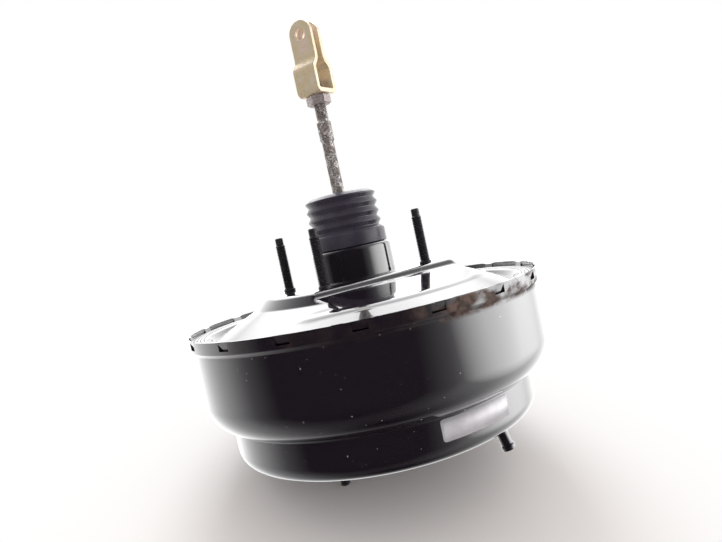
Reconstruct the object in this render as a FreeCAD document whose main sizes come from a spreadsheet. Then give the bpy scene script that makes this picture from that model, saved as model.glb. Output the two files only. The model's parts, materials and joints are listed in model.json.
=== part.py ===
"""Vacuum brake servo: a pressed steel drum with a diaphragm piston, push rod and clevis.

The origin is on the drum's axis, in the plane of the firewall plateau.  +Z points along the
push rod to the pedal, and X runs along the long side of the firewall stud rectangle.
All lengths are in millimetres and all angles in degrees.
"""
import FreeCAD, Part
import math
import os

import Sketcher

doc = FreeCAD.newDocument("brake_servo")

# Driving dimensions, one cell each
SIZES = {
    # Front shell, the deep drum
    "front_wall": 1.8,
    "rim_radius": 141.0,
    "rim_top": -14.8,
    "rim_foot": -23.5,
    "ledge_drop": 2.5,
    "ledge_bend": 1.5,
    "ledge_width": 2.5,
    "waist_step": 17.5,
    "waist_top": -89.1,
    "shoulder_drop": 6.1,
    "shoulder_bend": 24.0,
    "waist_bend": 1.9,
    "front_face": -120.0,
    "front_corner": 12.0,
    "front_boss_radius": 60.0,
    "front_boss_slope": 8.0,
    "front_boss_height": 7.0,
    "front_boss_bend": 5.0,
    "front_bore_radius": 20.0,
    "front_bore_bend": 3.0,
    "front_collar_depth": 12.0,
    # Lances that lock the two shells together
    "lance_count": 18,
    "lance_angle": 4.0,
    "lance_height": 4.2,
    "lance_reach": 2.4,
    # Rear shell, the cover with the firewall plateau
    "rear_wall": 1.8,
    "neck_radius": 31.3,
    "neck_top": 25.2,
    "neck_edge": 1.4,
    "neck_fillet": 3.0,
    "plateau_level": 0.0,
    "plateau_radius": 76.0,
    "plateau_bend": 4.0,
    "shelf_radius": 83.5,
    "shelf_drop": 8.0,
    "shelf_bend": 6.0,
    "cone_margin": 17.5,
    "cone_drop": 26.2,
    "cone_bend": 2.2,
    "flange_margin": 14.0,
    "flange_level": -20.5,
    "flange_play": 0.3,
    "facet_start": 44.0,
    "facet_run": 4.5,
    "facet_drop": 4.2,
    "facet_reach": 62.0,
    "facet_fall": 13.4,
    "facet_bend": 3.5,
    "facet_edge": 1.5,
    # Firewall studs and the plate behind them
    "stud_radius": 4.0,
    "stud_spacing_long": 92.0,
    "stud_spacing_short": 68.0,
    "stud_shoulder": 40.3,
    "stud_tip": 46.4,
    "stud_dog_radius": 3.2,
    "stud_dog_chamfer": 0.7,
    "stud_head_radius": 6.5,
    "stud_head_height": 3.0,
    "stud_hole_play": 0.15,
    "stud_collar_radius": 4.75,
    "stud_collar_height": 3.4,
    "stud_collar_taper": 0.8,
    "rear_plate_thick": 3.0,
    "rear_plate_lip": 3.9,
    "rear_plate_bore": 37.0,
    "rear_plate_margin": 2.0,
    # Master cylinder studs and the plate behind them
    "front_stud_margin": 11.0,
    "front_stud_tip": -155.5,
    "front_plate_thick": 3.0,
    "front_plate_margin": 4.0,
    "front_plate_bore": 25.5,
    # Vacuum nipple
    "nipple_margin": 23.0,
    "nipple_bearing": -66.0,
    "nipple_tilt": 16.0,
    "nipple_length": 21.0,
    "nipple_radius": 4.4,
    "nipple_bore": 2.8,
    "nipple_bead_radius": 5.4,
    "nipple_bead_height": 4.0,
    "nipple_foot_radius": 8.5,
    "nipple_foot_height": 3.0,
    # Guide and seal in the neck
    "neck_play": 0.1,
    "stack_gap": 0.1,
    "seal_base": 4.2,
    "retainer_thick": 1.2,
    "retainer_play": 1.9,
    "seal_height": 5.0,
    "bearing_height": 7.0,
    "soft_gap": 0.3,
    "running_gap": 0.05,
    # Valve body, the moulded hub of the piston
    "tube_radius": 22.1,
    "tube_top": 50.0,
    "tube_bore": 17.6,
    "tube_edge": 1.0,
    "shoulder_radius": 34.0,
    "shoulder_top": -13.5,
    "shoulder_foot": -19.0,
    "hub_radius": 27.2,
    "hub_foot": -44.0,
    "chamber_top": 7.0,
    "chamber_radius": 13.5,
    "chamber_floor": -2.0,
    "seat_top": 2.3,
    "seat_inner": 11.0,
    "seat_outer": 12.4,
    "nose_bore_top": -21.5,
    "reaction_floor": -24.5,
    "reaction_bore": 12.6,
    # Plunger and its stop key
    "plunger_radius": 8.0,
    "plunger_top": 3.0,
    "plunger_head_radius": 9.6,
    "plunger_head_foot": -0.2,
    "plunger_foot": -19.7,
    "plunger_nose_radius": 6.0,
    "plunger_nose": -22.8,
    "plunger_travel": 1.5,
    "groove_radius": 5.2,
    "key_top": -10.3,
    "key_thick": 1.8,
    "key_width": 20.0,
    "key_reach": 30.0,
    "key_back": 9.0,
    # Output rod
    "disc_thick": 3.0,
    "output_head_thick": 5.0,
    "output_rod_radius": 5.0,
    "output_rod_end": -120.0,
    "screw_shank_radius": 2.9,
    "screw_shank_length": 18.0,
    "screw_head_radius": 4.6,
    "screw_tip": -134.0,
    # Diaphragm and its plate
    "plate_wall": 1.5,
    "plate_flat_radius": 62.0,
    "plate_rim_fit": 0.6,
    "plate_rim_drop": 16.7,
    "plate_lip": 14.0,
    "plate_bend": 4.0,
    "diaphragm_wall": 2.0,
    "roll_width": 17.4,
    "roll_margin": 3.4,
    "roll_foot": -52.0,
    "roll_bend": 4.0,
    "bead_step": 0.4,
    "bead_height": 4.6,
    # Springs
    "return_wire": 3.6,
    "return_radius": 33.0,
    "return_turns": 6.0,
    "rod_spring_wire": 1.8,
    "rod_spring_radius": 13.2,
    "rod_spring_turns": 4.0,
    "poppet_spring_wire": 1.0,
    "poppet_spring_radius": 7.6,
    "poppet_spring_turns": 6.0,
    # Poppet valve, its retainer and the air filter
    "poppet_face": 3.3,
    "poppet_bore": 6.6,
    "poppet_skin": 1.7,
    "poppet_bead": 3.0,
    "retainer_wall": 1.5,
    "cup_height": 7.6,
    "cup_bore": 11.6,
    "silencer_foot": 33.6,
    "silencer_height": 4.2,
    "filter_height": 10.0,
    "filter_bore": 8.3,
    # Push rod
    "ball_radius": 4.8,
    "ball_level": -1.0,
    "ball_gap": 0.07,
    "rod_neck_radius": 3.2,
    "rod_neck_top": 7.0,
    "rod_radius": 4.85,
    "spring_seat_level": 30.0,
    "spring_seat_thick": 1.5,
    "spring_seat_radius": 15.0,
    "rod_collar_radius": 6.4,
    "rod_collar_height": 1.5,
    "rod_thick_foot": 115.0,
    "rod_thick_radius": 5.75,
    "rod_taper": 1.2,
    "rod_thick_top": 130.0,
    "rod_undercut_radius": 4.25,
    "rod_undercut_height": 2.0,
    "rod_thread_radius": 5.0,
    "rod_top": 166.0,
    "rod_end_chamfer": 1.0,
    # Lock nut and clevis
    "nut_flats": 17.0,
    "nut_height": 7.5,
    "nut_chamfer": 0.9,
    "clevis_foot": 151.5,
    "clevis_turn": 25.7,
    "clevis_strip": 3.8,
    "clevis_width": 21.5,
    "clevis_half_foot": 12.0,
    "clevis_half_top": 6.7,
    "joggle_foot": 173.2,
    "joggle_top": 179.8,
    "clevis_bend": 4.8,
    "joggle_bend": 5.5,
    "pin_level": 200.6,
    "pin_hole_radius": 5.05,
    "clevis_top": 211.3,
    # Boot
    "boot_gap": 2.3,
    "boot_cuff_radius": 30.5,
    "boot_cuff_height": 10.7,
    "boot_cuff_edge": 2.6,
    "boot_spigot_radius": 28.4,
    "boot_bore": 24.8,
    "boot_wall": 1.6,
    "boot_crest_radius": 29.2,
    "boot_valley_radius": 26.6,
    "boot_pitch": 7.55,
    "boot_folds": 4,
    "boot_first_crest": 44.8,
    "boot_crest_bend": 1.9,
    "boot_valley_bend": 0.9,
    "boot_top": 71.2,
    "boot_shoulder": 24.0,
}

# How finely the springs are drawn
SPRING_STEPS = 16
WIRE_SIDES = 6

sheet = doc.addObject("Spreadsheet::Sheet", "Sizes")
for row, (alias, number) in enumerate(SIZES.items(), start=1):
    sheet.set("A%d" % row, alias.replace("_", " "))
    sheet.set("B%d" % row, str(number))
    sheet.setAlias("B%d" % row, alias)
doc.recompute()


class Size:
    """A size with its formula in the sheet, so that sums and differences stay bound to it."""

    def __init__(self, formula, number):
        self.formula = formula
        self.number = number

    def __add__(self, other):
        return joined(self, "+", other, self.number + amount(other))

    def __radd__(self, other):
        return joined(other, "+", self, amount(other) + self.number)

    def __sub__(self, other):
        return joined(self, "-", other, self.number - amount(other))

    def __rsub__(self, other):
        return joined(other, "-", self, amount(other) - self.number)

    def __mul__(self, other):
        return joined(self, "*", other, self.number * amount(other))

    def __rmul__(self, other):
        return joined(other, "*", self, amount(other) * self.number)

    def __truediv__(self, other):
        return joined(self, "/", other, self.number / amount(other))

    def __neg__(self):
        return Size("(-%s)" % self.formula, -self.number)


def amount(value):
    """The plain number of a size or of a number."""
    return value.number if isinstance(value, Size) else value


def wording(value):
    """The formula of a size or of a number."""
    return value.formula if isinstance(value, Size) else repr(value)


def joined(left, sign, right, number):
    return Size("(%s %s %s)" % (wording(left), sign, wording(right)), number)


def root(value):
    """The square root of a size."""
    return Size("sqrt(%s)" % value.formula, math.sqrt(value.number))


def size(alias):
    return Size("Sizes.%s" % alias, SIZES[alias])


def bind(target, path, value):
    """Tie a property of an object to its size."""
    if isinstance(value, Size):
        target.setExpression(path, value.formula)
    else:
        setattr(target, path, value)


# Sketches, bodies and features
def add_body(name):
    body = doc.addObject("PartDesign::Body", name)
    body.Label = name
    return body


def add_sketch(body, name, plane):
    """A sketch on one of the body's own origin planes."""
    sketch = body.newObject("Sketcher::SketchObject", name)
    for feature in body.Origin.OriginFeatures:
        if feature.Role == plane:
            sketch.AttachmentSupport = [(feature, "")]
    sketch.MapMode = "FlatFace"
    return sketch


def fix_length(sketch, kind, arguments, value):
    """Add one dimension to a sketch and tie it to its size."""
    index = sketch.addConstraint(Sketcher.Constraint(kind, *arguments, amount(value)))
    if isinstance(value, Size):
        sketch.setExpression("Constraints[%d]" % index, value.formula)


def place_point(sketch, curve, end, across, up):
    """Hold a point at its two distances from the sketch's origin."""
    if isinstance(across, Size):
        fix_length(sketch, "DistanceX", (-1, 1, curve, end), across)
    else:
        sketch.addConstraint(Sketcher.Constraint("PointOnObject", curve, end, -2))
    if isinstance(up, Size):
        fix_length(sketch, "DistanceY", (-1, 1, curve, end), up)
    else:
        sketch.addConstraint(Sketcher.Constraint("PointOnObject", curve, end, -1))


def vector(across, up):
    return FreeCAD.Vector(across, up, 0)


def corner_arc(before, corner, after, radius):
    """The tangent arc that rounds a corner, with its two ends and the way that it turns."""
    inward = (corner - before).normalize()
    outward = (after - corner).normalize()
    turn = inward.cross(outward).z
    half_angle = inward.getAngle(outward) / 2
    reach = radius * math.tan(half_angle)
    first = corner - inward * reach
    last = corner + outward * reach
    side = 1 if turn > 0 else -1
    centre = first + vector(-inward.y, inward.x) * (radius * side)
    start, stop = (first, last) if side > 0 else (last, first)
    angles = [math.atan2((point - centre).y, (point - centre).x) for point in (start, stop)]
    circle = Part.Circle(centre, FreeCAD.Vector(0, 0, 1), radius)
    return Part.ArcOfCircle(circle, *angles), first, last, side


def draw_outline(sketch, corners):
    """Draw a closed outline of lines whose corners are sharp or rounded by a tangent arc.

    Each corner is (across, up) or (across, up, radius).
    """
    count = len(corners)
    points = [vector(amount(corner[0]), amount(corner[1])) for corner in corners]
    arcs = {}
    for index, corner in enumerate(corners):
        if len(corner) == 3:
            before = points[index - 1]
            after = points[(index + 1) % count]
            arcs[index] = corner_arc(before, points[index], after, amount(corner[2]))
    lines = []
    for index in range(count):
        following = (index + 1) % count
        start = arcs[index][2] if index in arcs else points[index]
        stop = arcs[following][1] if following in arcs else points[following]
        lines.append(sketch.addGeometry(Part.LineSegment(start, stop), False))
    for index, corner in enumerate(corners):
        arriving = lines[index - 1]
        leaving = lines[index]
        if index in arcs:
            arc, first, last, side = arcs[index]
            curve = sketch.addGeometry(arc, False)
            near, far = (1, 2) if side > 0 else (2, 1)
            sketch.addConstraint(Sketcher.Constraint("Tangent", arriving, 2, curve, near))
            sketch.addConstraint(Sketcher.Constraint("Tangent", leaving, 1, curve, far))
            fix_length(sketch, "Radius", (curve,), corner[2])
            mark = sketch.addGeometry(Part.Point(points[index]), True)
            sketch.addConstraint(Sketcher.Constraint("PointOnObject", mark, 1, arriving))
            sketch.addConstraint(Sketcher.Constraint("PointOnObject", mark, 1, leaving))
            place_point(sketch, mark, 1, corner[0], corner[1])
        else:
            sketch.addConstraint(Sketcher.Constraint("Coincident", arriving, 2, leaving, 1))
            place_point(sketch, leaving, 1, corner[0], corner[1])


def draw_circle(sketch, across, up, radius):
    circle = Part.Circle(vector(amount(across), amount(up)), FreeCAD.Vector(0, 0, 1), amount(radius))
    curve = sketch.addGeometry(circle, False)
    fix_length(sketch, "Radius", (curve,), radius)
    place_point(sketch, curve, 3, across, up)


def revolve(body, name, corners, angle=None):
    """Turn an outline of (radius, height) corners about the Z axis."""
    sketch = add_sketch(body, name + "_profile", "XZ_Plane")
    draw_outline(sketch, corners)
    feature = body.newObject("PartDesign::Revolution", name)
    feature.Profile = sketch
    feature.ReferenceAxis = (sketch, ["V_Axis"])
    if angle is not None:
        feature.Midplane = True
        bind(feature, "Angle", angle)
    return feature


def cut_through(body, name, plane, draw):
    """Cut a sketched shape right through the body, both ways from its plane."""
    sketch = add_sketch(body, name + "_profile", plane)
    draw(sketch)
    feature = body.newObject("PartDesign::Pocket", name)
    feature.Profile = sketch
    feature.Type = "ThroughAll"
    feature.Midplane = True
    return feature


def ring(name, inner, outer, foot, top):
    """A plain ring of rectangular section."""
    body = add_body(name)
    revolve(body, name + "_turned", [(inner, foot), (outer, foot), (outer, top), (inner, top)])
    return body


def offset_corners(corners, wall):
    """Corners of the far side of a sheet whose near side has these corners.

    The sheet lies to the right of the way along the corners, which are (across, up, radius).
    """
    shifted = []
    last = len(corners) - 1
    for index, corner in enumerate(corners):
        before = corners[max(index - 1, 0)]
        after = corners[min(index + 1, last)]
        way_in = way_between(before, corner) if index > 0 else way_between(corner, after)
        way_out = way_between(corner, after) if index < last else way_in
        shift = mitre(way_in, way_out)
        place = [corner[0] + shift[0] * wall, corner[1] + shift[1] * wall]
        if len(corner) == 3:
            turn = amount(way_in[0]) * amount(way_out[1]) - amount(way_in[1]) * amount(way_out[0])
            radius = corner[2] - wall if turn < 0 else corner[2] + wall
            if amount(radius) > 0.05:
                place.append(radius)
        shifted.append(tuple(place))
    return shifted


def way_between(start, stop):
    """The unit direction from one corner to another, as two sizes."""
    across = stop[0] - start[0]
    up = stop[1] - start[1]
    length = root(across * across + up * up)
    return across / length, up / length


def mitre(way_in, way_out):
    """How far a corner moves to the right for a wall of one unit, as two sizes."""
    share = 1 + way_in[0] * way_out[0] + way_in[1] * way_out[1]
    across = (way_in[1] + way_out[1]) / share
    up = -(way_in[0] + way_out[0]) / share
    return across, up


def sheet_outline(corners, wall):
    """The closed outline of a sheet of even thickness along these corners."""
    return list(corners) + list(reversed(offset_corners(corners, wall)))


def copies(name, source, places):
    """Copies of one solid as a group, each at its own place, given as (x, y)."""
    group = doc.addObject("Part::Compound", name)
    group.Label = name
    members = []
    for number, (across, along) in enumerate(places, start=1):
        member = doc.addObject("App::Link", "%s_%d" % (name, number))
        member.LinkedObject = source
        for path, value in (("x", across), ("y", along)):
            if value != 0:
                bind(member, "Placement.Base." + path, value)
        members.append(member)
    group.Links = members
    return group


def spring(name, wire, coil_radius, turns, foot, top):
    """A coil spring that fills the height from its foot to its top.

    Its wire is six-sided, set at each step of a turn, so that the spring keeps few faces.
    """
    wire_radius = amount(wire) / 2
    steps = round(amount(turns) * SPRING_STEPS)
    low = amount(foot) + wire_radius
    climb = (amount(top) - wire_radius - low) / steps
    sections = []
    for step in range(steps + 1):
        turned = math.radians(step * 360 / SPRING_STEPS)
        outward = FreeCAD.Vector(math.cos(turned), math.sin(turned), 0)
        upward = FreeCAD.Vector(0, 0, 1)
        centre = outward * amount(coil_radius) + upward * (low + climb * step)
        corners = []
        for side in range(WIRE_SIDES):
            angle = math.radians((side + 0.5) * 360 / WIRE_SIDES)
            corners.append(centre + (outward * math.cos(angle) + upward * math.sin(angle)) * wire_radius)
        sections.append(Part.makePolygon(corners + corners[:1]))
    coil = doc.addObject("Part::Feature", name)
    coil.Label = name
    coil.Shape = Part.makeLoft(sections, True, True)
    coil.Placement = FreeCAD.Placement()
    return coil


def solid_between(kind, name, foot, **lengths):
    """A Part primitive that stands on the Z axis at its foot."""
    piece = doc.addObject("Part::" + kind, name)
    bind(piece, "Placement.Base.z", foot)
    for path, value in lengths.items():
        bind(piece, path, value)
    return piece


def boolean(kind, name, base, tool):
    result = doc.addObject("Part::" + kind, name)
    result.Base = base
    result.Tool = tool
    return result


def fillet_edges(body, name, radius, chosen):
    """Round the edges of the body's last feature whose middle passes the given test."""
    doc.recompute()
    last = body.Tip
    edges = []
    for number, edge in enumerate(last.Shape.Edges, start=1):
        middle = edge.valueAt((edge.FirstParameter + edge.LastParameter) / 2)
        if chosen(edge, middle):
            edges.append("Edge%d" % number)
    feature = body.newObject("PartDesign::Fillet", name)
    feature.Base = (last, edges)
    bind(feature, "Radius", radius)
    return feature


def is_close(value, other):
    return abs(value - amount(other)) < 0.01


# Front shell: a deep drum with a stepped waist, a flared rim and a boss for the master cylinder
front_wall = size("front_wall")
rim_radius = size("rim_radius")
drum_radius = rim_radius - size("ledge_width")
waist_radius = drum_radius - size("waist_step")
front_face = size("front_face")
boss_face = front_face - size("front_boss_height")
boss_radius = size("front_boss_radius")
front_stud_reach = boss_radius - size("front_stud_margin")
front_bore = size("front_bore_radius")
shoulder_corner = size("waist_top") + size("shoulder_drop")

front_side = [
    (rim_radius, size("rim_top")),
    (rim_radius, size("rim_foot"), size("ledge_bend")),
    (drum_radius, size("rim_foot") - size("ledge_drop"), size("ledge_bend")),
    (drum_radius, shoulder_corner, size("shoulder_bend")),
    (waist_radius, size("waist_top"), size("waist_bend")),
    (waist_radius, front_face, size("front_corner")),
    (boss_radius + size("front_boss_slope"), front_face, size("front_boss_bend")),
    (boss_radius, boss_face, size("front_boss_bend")),
    (front_bore, boss_face, size("front_bore_bend")),
    (front_bore, boss_face + size("front_collar_depth")),
]

front_shell = add_body("front_shell")
revolve(front_shell, "drum", sheet_outline(front_side, front_wall))


stud_hole = size("stud_collar_radius") + size("stud_hole_play")


def stud_hole_row(sketch):
    for side in (-1, 1):
        draw_circle(sketch, front_stud_reach * side, 0, stud_hole)


cut_through(front_shell, "stud_holes", "XY_Plane", stud_hole_row)

nipple_bearing = math.radians(SIZES["nipple_bearing"])
nipple_reach = waist_radius - size("nipple_margin")
nipple_across = nipple_reach * math.cos(nipple_bearing)
nipple_along = nipple_reach * math.sin(nipple_bearing)


def nipple_hole(sketch):
    draw_circle(sketch, nipple_across, nipple_along, size("nipple_bore"))


cut_through(front_shell, "port", "XY_Plane", nipple_hole)

# Each lance is a window in the rim band, and its tongue is pressed inwards over the rear shell's flange
tongue_tip = size("flange_level") + size("stack_gap")
band_inside = rim_radius - front_wall
window_top = tongue_tip + size("lance_height")
window = add_sketch(front_shell, "lance_window_profile", "XZ_Plane")
draw_outline(window, [
    (band_inside - front_wall, tongue_tip),
    (rim_radius + front_wall, tongue_tip),
    (rim_radius + front_wall, window_top),
    (band_inside - front_wall, window_top),
])
window_cut = front_shell.newObject("PartDesign::Groove", "lance_window")
window_cut.Profile = window
window_cut.ReferenceAxis = (window, ["V_Axis"])
window_cut.Midplane = True
bind(window_cut, "Angle", size("lance_angle"))

tongue = revolve(front_shell, "lance_tongue", [
    (rim_radius - size("lance_reach") - front_wall, tongue_tip),
    (rim_radius - size("lance_reach"), tongue_tip),
    (rim_radius, window_top),
    (rim_radius, window_top + front_wall / 2),
    (band_inside, window_top + front_wall / 2),
    (band_inside, window_top),
], size("lance_angle"))

lances = front_shell.newObject("PartDesign::PolarPattern", "lances")
lances.Originals = [window_cut, tongue]
for feature in front_shell.Origin.OriginFeatures:
    if feature.Role == "Z_Axis":
        lances.Axis = (feature, [""])
lances.Angle = 360
bind(lances, "Occurrences", size("lance_count"))
front_shell.Tip = lances

# Rear shell: the outer form less the space inside it, both with a flat facet on either side
rear_wall = size("rear_wall")
neck_inside = size("neck_radius") - rear_wall
flange_under = size("flange_level") - rear_wall
flange_radius = band_inside - size("flange_play")
plateau = size("plateau_level")

rear_side = [
    (size("plateau_radius"), plateau, size("plateau_bend")),
    (size("shelf_radius"), plateau - size("shelf_drop"), size("shelf_bend")),
    (rim_radius - size("cone_margin"), plateau - size("cone_drop"), size("cone_bend")),
    (rim_radius - size("flange_margin"), size("flange_level"), size("cone_bend")),
]
neck_side = [
    (size("neck_radius"), size("neck_top"), size("neck_edge")),
    (size("neck_radius"), plateau, size("neck_fillet")),
]
flange_edge = (flange_radius, size("flange_level"))
space_side = offset_corners(neck_side + rear_side + [flange_edge], rear_wall)
form_floor = -size("cone_drop") - rear_wall * 2
space_floor = form_floor - rear_wall

rear_form = add_body("rear_form")
revolve(rear_form, "rear_form_turned", [(0, size("neck_top"))] + neck_side + rear_side + [
    flange_edge,
    (flange_radius, form_floor),
    (0, form_floor),
])

rear_space = add_body("rear_space")
revolve(rear_space, "rear_space_turned", [
    (0, size("neck_top") + rear_wall),
    (neck_inside, size("neck_top") + rear_wall),
] + space_side[1:-1] + [
    (rim_radius, flange_under),
    (rim_radius, space_floor),
    (0, space_floor),
])


def cut_facets(body, name, start, level):
    """Cut a flat facet on both sides, from a rounded step beside the plateau."""
    far = start + size("facet_run") + size("facet_reach")
    sky = level + size("neck_top")
    foot = level - size("facet_drop")
    for side in (-1, 1):
        sketch = add_sketch(body, "%s_%s_profile" % (name, "right" if side > 0 else "left"), "YZ_Plane")
        draw_outline(sketch, [
            (start * side, sky),
            (start * side, level),
            ((start + size("facet_run")) * side, foot, size("facet_bend")),
            (far * side, foot - size("facet_fall")),
            (far * side, sky),
        ])
        cut = body.newObject("PartDesign::Pocket", "%s_%s" % (name, "right" if side > 0 else "left"))
        cut.Profile = sketch
        cut.Type = "ThroughAll"
        cut.Midplane = True


cut_facets(rear_form, "facet", size("facet_start"), plateau)
fillet_edges(rear_form, "facet_edges", size("facet_edge"), lambda edge, middle: (
    is_close(abs(middle.y), size("facet_start")) and is_close(middle.z, plateau)
    and is_close(middle.x, 0)))
cut_facets(rear_space, "facet", size("facet_start") - rear_wall / 2, plateau - rear_wall)

stud_places = [
    (size("stud_spacing_long") / 2 * side, size("stud_spacing_short") / 2 * end)
    for side in (-1, 1)
    for end in (-1, 1)
]


def firewall_holes(sketch):
    for across, along in stud_places:
        draw_circle(sketch, across, along, stud_hole)


cut_through(rear_form, "stud_holes", "XY_Plane", firewall_holes)
rear_shell = boolean("Cut", "rear_shell", rear_form, rear_space)

# Plate that stiffens the plateau from inside and carries the heads of the firewall studs
rear_plate = add_body("rear_reinforcement_plate")
plateau_under = plateau - rear_wall
plate_under = plateau_under - size("rear_plate_thick")
half_long = size("stud_spacing_long") / 2
half_short = size("stud_spacing_short") / 2
stud_circle = root(half_long * half_long + half_short * half_short)
rear_plate_radius = stud_circle + stud_hole + size("rear_plate_lip")
revolve(rear_plate, "rear_plate_turned", [
    (size("rear_plate_bore"), plate_under),
    (rear_plate_radius, plate_under),
    (rear_plate_radius, plateau_under),
    (size("rear_plate_bore"), plateau_under),
])
cut_through(rear_plate, "rear_plate_holes", "XY_Plane", firewall_holes)
plate_edge = size("facet_start") - size("rear_plate_margin")
trim_reach = rear_plate_radius + size("rear_plate_margin")
for side in (-1, 1):
    trim = add_sketch(rear_plate, "rear_plate_trim_%d" % side, "XY_Plane")
    draw_outline(trim, [
        (-trim_reach, plate_edge * side),
        (trim_reach, plate_edge * side),
        (trim_reach, trim_reach * side),
        (-trim_reach, trim_reach * side),
    ])
    trim_cut = rear_plate.newObject("PartDesign::Pocket", "rear_plate_side_%d" % (side + 2))
    trim_cut.Profile = trim
    trim_cut.Type = "ThroughAll"
    trim_cut.Midplane = True

# Firewall studs, each with a head inside, a collar at the plateau and a dog point outside
stud_radius = size("stud_radius")
collar_radius = size("stud_collar_radius")
collar_height = size("stud_collar_height")
taper_end = collar_height + size("stud_collar_taper")
stud = add_body("firewall_stud")
revolve(stud, "firewall_stud_turned", [
    (0, plate_under - size("stud_head_height")),
    (size("stud_head_radius"), plate_under - size("stud_head_height")),
    (size("stud_head_radius"), plate_under),
    (collar_radius, plate_under),
    (collar_radius, plateau + collar_height),
    (stud_radius, plateau + taper_end),
    (stud_radius, size("stud_shoulder") - size("stud_dog_chamfer")),
    (size("stud_dog_radius"), size("stud_shoulder")),
    (size("stud_dog_radius"), size("stud_tip") - size("stud_dog_chamfer")),
    (size("stud_dog_radius") - size("stud_dog_chamfer"), size("stud_tip")),
    (0, size("stud_tip")),
])
firewall_studs = copies("firewall_studs", stud, stud_places)

# Plate behind the master cylinder boss, and the two studs that it carries
front_inside = boss_face + front_wall
front_plate_top = front_inside + size("front_plate_thick")
front_plate = add_body("front_reinforcement_plate")
front_plate_radius = boss_radius - size("front_plate_margin")
revolve(front_plate, "front_plate_turned", [
    (size("front_plate_bore"), front_inside),
    (front_plate_radius, front_inside),
    (front_plate_radius, front_plate_top),
    (size("front_plate_bore"), front_plate_top),
])
cut_through(front_plate, "front_plate_holes", "XY_Plane", stud_hole_row)

front_stud = add_body("master_cylinder_stud")
revolve(front_stud, "master_cylinder_stud_turned", [
    (0, size("front_stud_tip")),
    (stud_radius - size("stud_dog_chamfer"), size("front_stud_tip")),
    (stud_radius, size("front_stud_tip") + size("stud_dog_chamfer")),
    (stud_radius, boss_face - taper_end),
    (collar_radius, boss_face - collar_height),
    (collar_radius, front_plate_top),
    (size("stud_head_radius"), front_plate_top),
    (size("stud_head_radius"), front_plate_top + size("stud_head_height")),
    (0, front_plate_top + size("stud_head_height")),
])
front_studs = copies("master_cylinder_studs", front_stud,
                     [(front_stud_reach * side, 0) for side in (-1, 1)])

# Vacuum nipple: a foot on the front face and a tube that leans outwards and ends in a hose bead
nipple_tilt = math.radians(SIZES["nipple_tilt"])
nipple_foot = solid_between("Cylinder", "nipple_foot", front_face - size("nipple_foot_height"),
                            Radius=size("nipple_foot_radius"), Height=size("nipple_foot_height"))
bind(nipple_foot, "Placement.Base.x", nipple_across)
bind(nipple_foot, "Placement.Base.y", nipple_along)
nipple_lean = FreeCAD.Vector(
    math.sin(nipple_tilt) * math.cos(nipple_bearing),
    math.sin(nipple_tilt) * math.sin(nipple_bearing),
    -math.cos(nipple_tilt))
nipple_turn = FreeCAD.Rotation(FreeCAD.Vector(0, 0, 1), nipple_lean)


def nipple_piece(name, kind, start, **lengths):
    """A turned piece on the leaning axis of the nipple, a distance from the front face."""
    piece = doc.addObject("Part::" + kind, name)
    piece.Placement.Rotation = nipple_turn
    bind(piece, "Placement.Base.x", nipple_across + start * nipple_lean.x)
    bind(piece, "Placement.Base.y", nipple_along + start * nipple_lean.y)
    bind(piece, "Placement.Base.z", front_face + start * nipple_lean.z)
    for path, value in lengths.items():
        bind(piece, path, value)
    return piece


nipple_start = size("nipple_foot_height") / 2
nipple_tube = nipple_piece("nipple_tube", "Cylinder", nipple_start, Radius=size("nipple_radius"),
                           Height=size("nipple_length") - nipple_start)
bead_start = size("nipple_length") - size("nipple_bead_height")
nipple_ramp = nipple_piece("nipple_ramp", "Cone", bead_start, Radius1=size("nipple_bead_radius"),
                           Radius2=size("nipple_radius"), Height=size("nipple_bead_height"))
nipple_solid = doc.addObject("Part::MultiFuse", "nipple_solid")
nipple_solid.Shapes = [nipple_foot, nipple_tube, nipple_ramp]
nipple_well = solid_between("Cylinder", "nipple_well", front_face - size("nipple_foot_height"),
                            Radius=size("nipple_bore"), Height=size("nipple_foot_height"))
bind(nipple_well, "Placement.Base.x", nipple_across)
bind(nipple_well, "Placement.Base.y", nipple_along)
nipple_drill = nipple_piece("nipple_drill", "Cylinder", nipple_start, Radius=size("nipple_bore"),
                            Height=size("nipple_length"))
nipple_void = doc.addObject("Part::MultiFuse", "nipple_void")
nipple_void.Shapes = [nipple_well, nipple_drill]
vacuum_nipple = boolean("Cut", "vacuum_nipple", nipple_solid, nipple_void)

# Seal, guide and retainer that centre the valve body in the neck
tube_radius = size("tube_radius")
stack_outer = neck_inside - size("neck_play")
retainer_top = size("seal_base") + size("retainer_thick")
seal_foot = retainer_top + size("stack_gap")
seal_top = seal_foot + size("seal_height")
bearing_foot = seal_top + size("stack_gap")
bearing_top = bearing_foot + size("bearing_height")
retainer_bore = tube_radius + size("retainer_play")
seal_retainer = ring("seal_retainer", retainer_bore, stack_outer, size("seal_base"), retainer_top)
body_seal = ring("body_seal", tube_radius + size("soft_gap"), stack_outer, seal_foot, seal_top)
guide_bore = tube_radius + size("running_gap")
neck_bearing = ring("neck_bearing", guide_bore, stack_outer, bearing_foot, bearing_top)

# Seal round the output rod in the collar of the front shell
front_seal_foot = boss_face + size("front_bore_bend") + size("soft_gap")
front_seal_top = front_seal_foot + size("seal_height")
front_seal_bore = size("output_rod_radius") + size("soft_gap")
front_seal_outer = front_bore - size("neck_play")
front_seal = ring("front_seal", front_seal_bore, front_seal_outer, front_seal_foot, front_seal_top)

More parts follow.
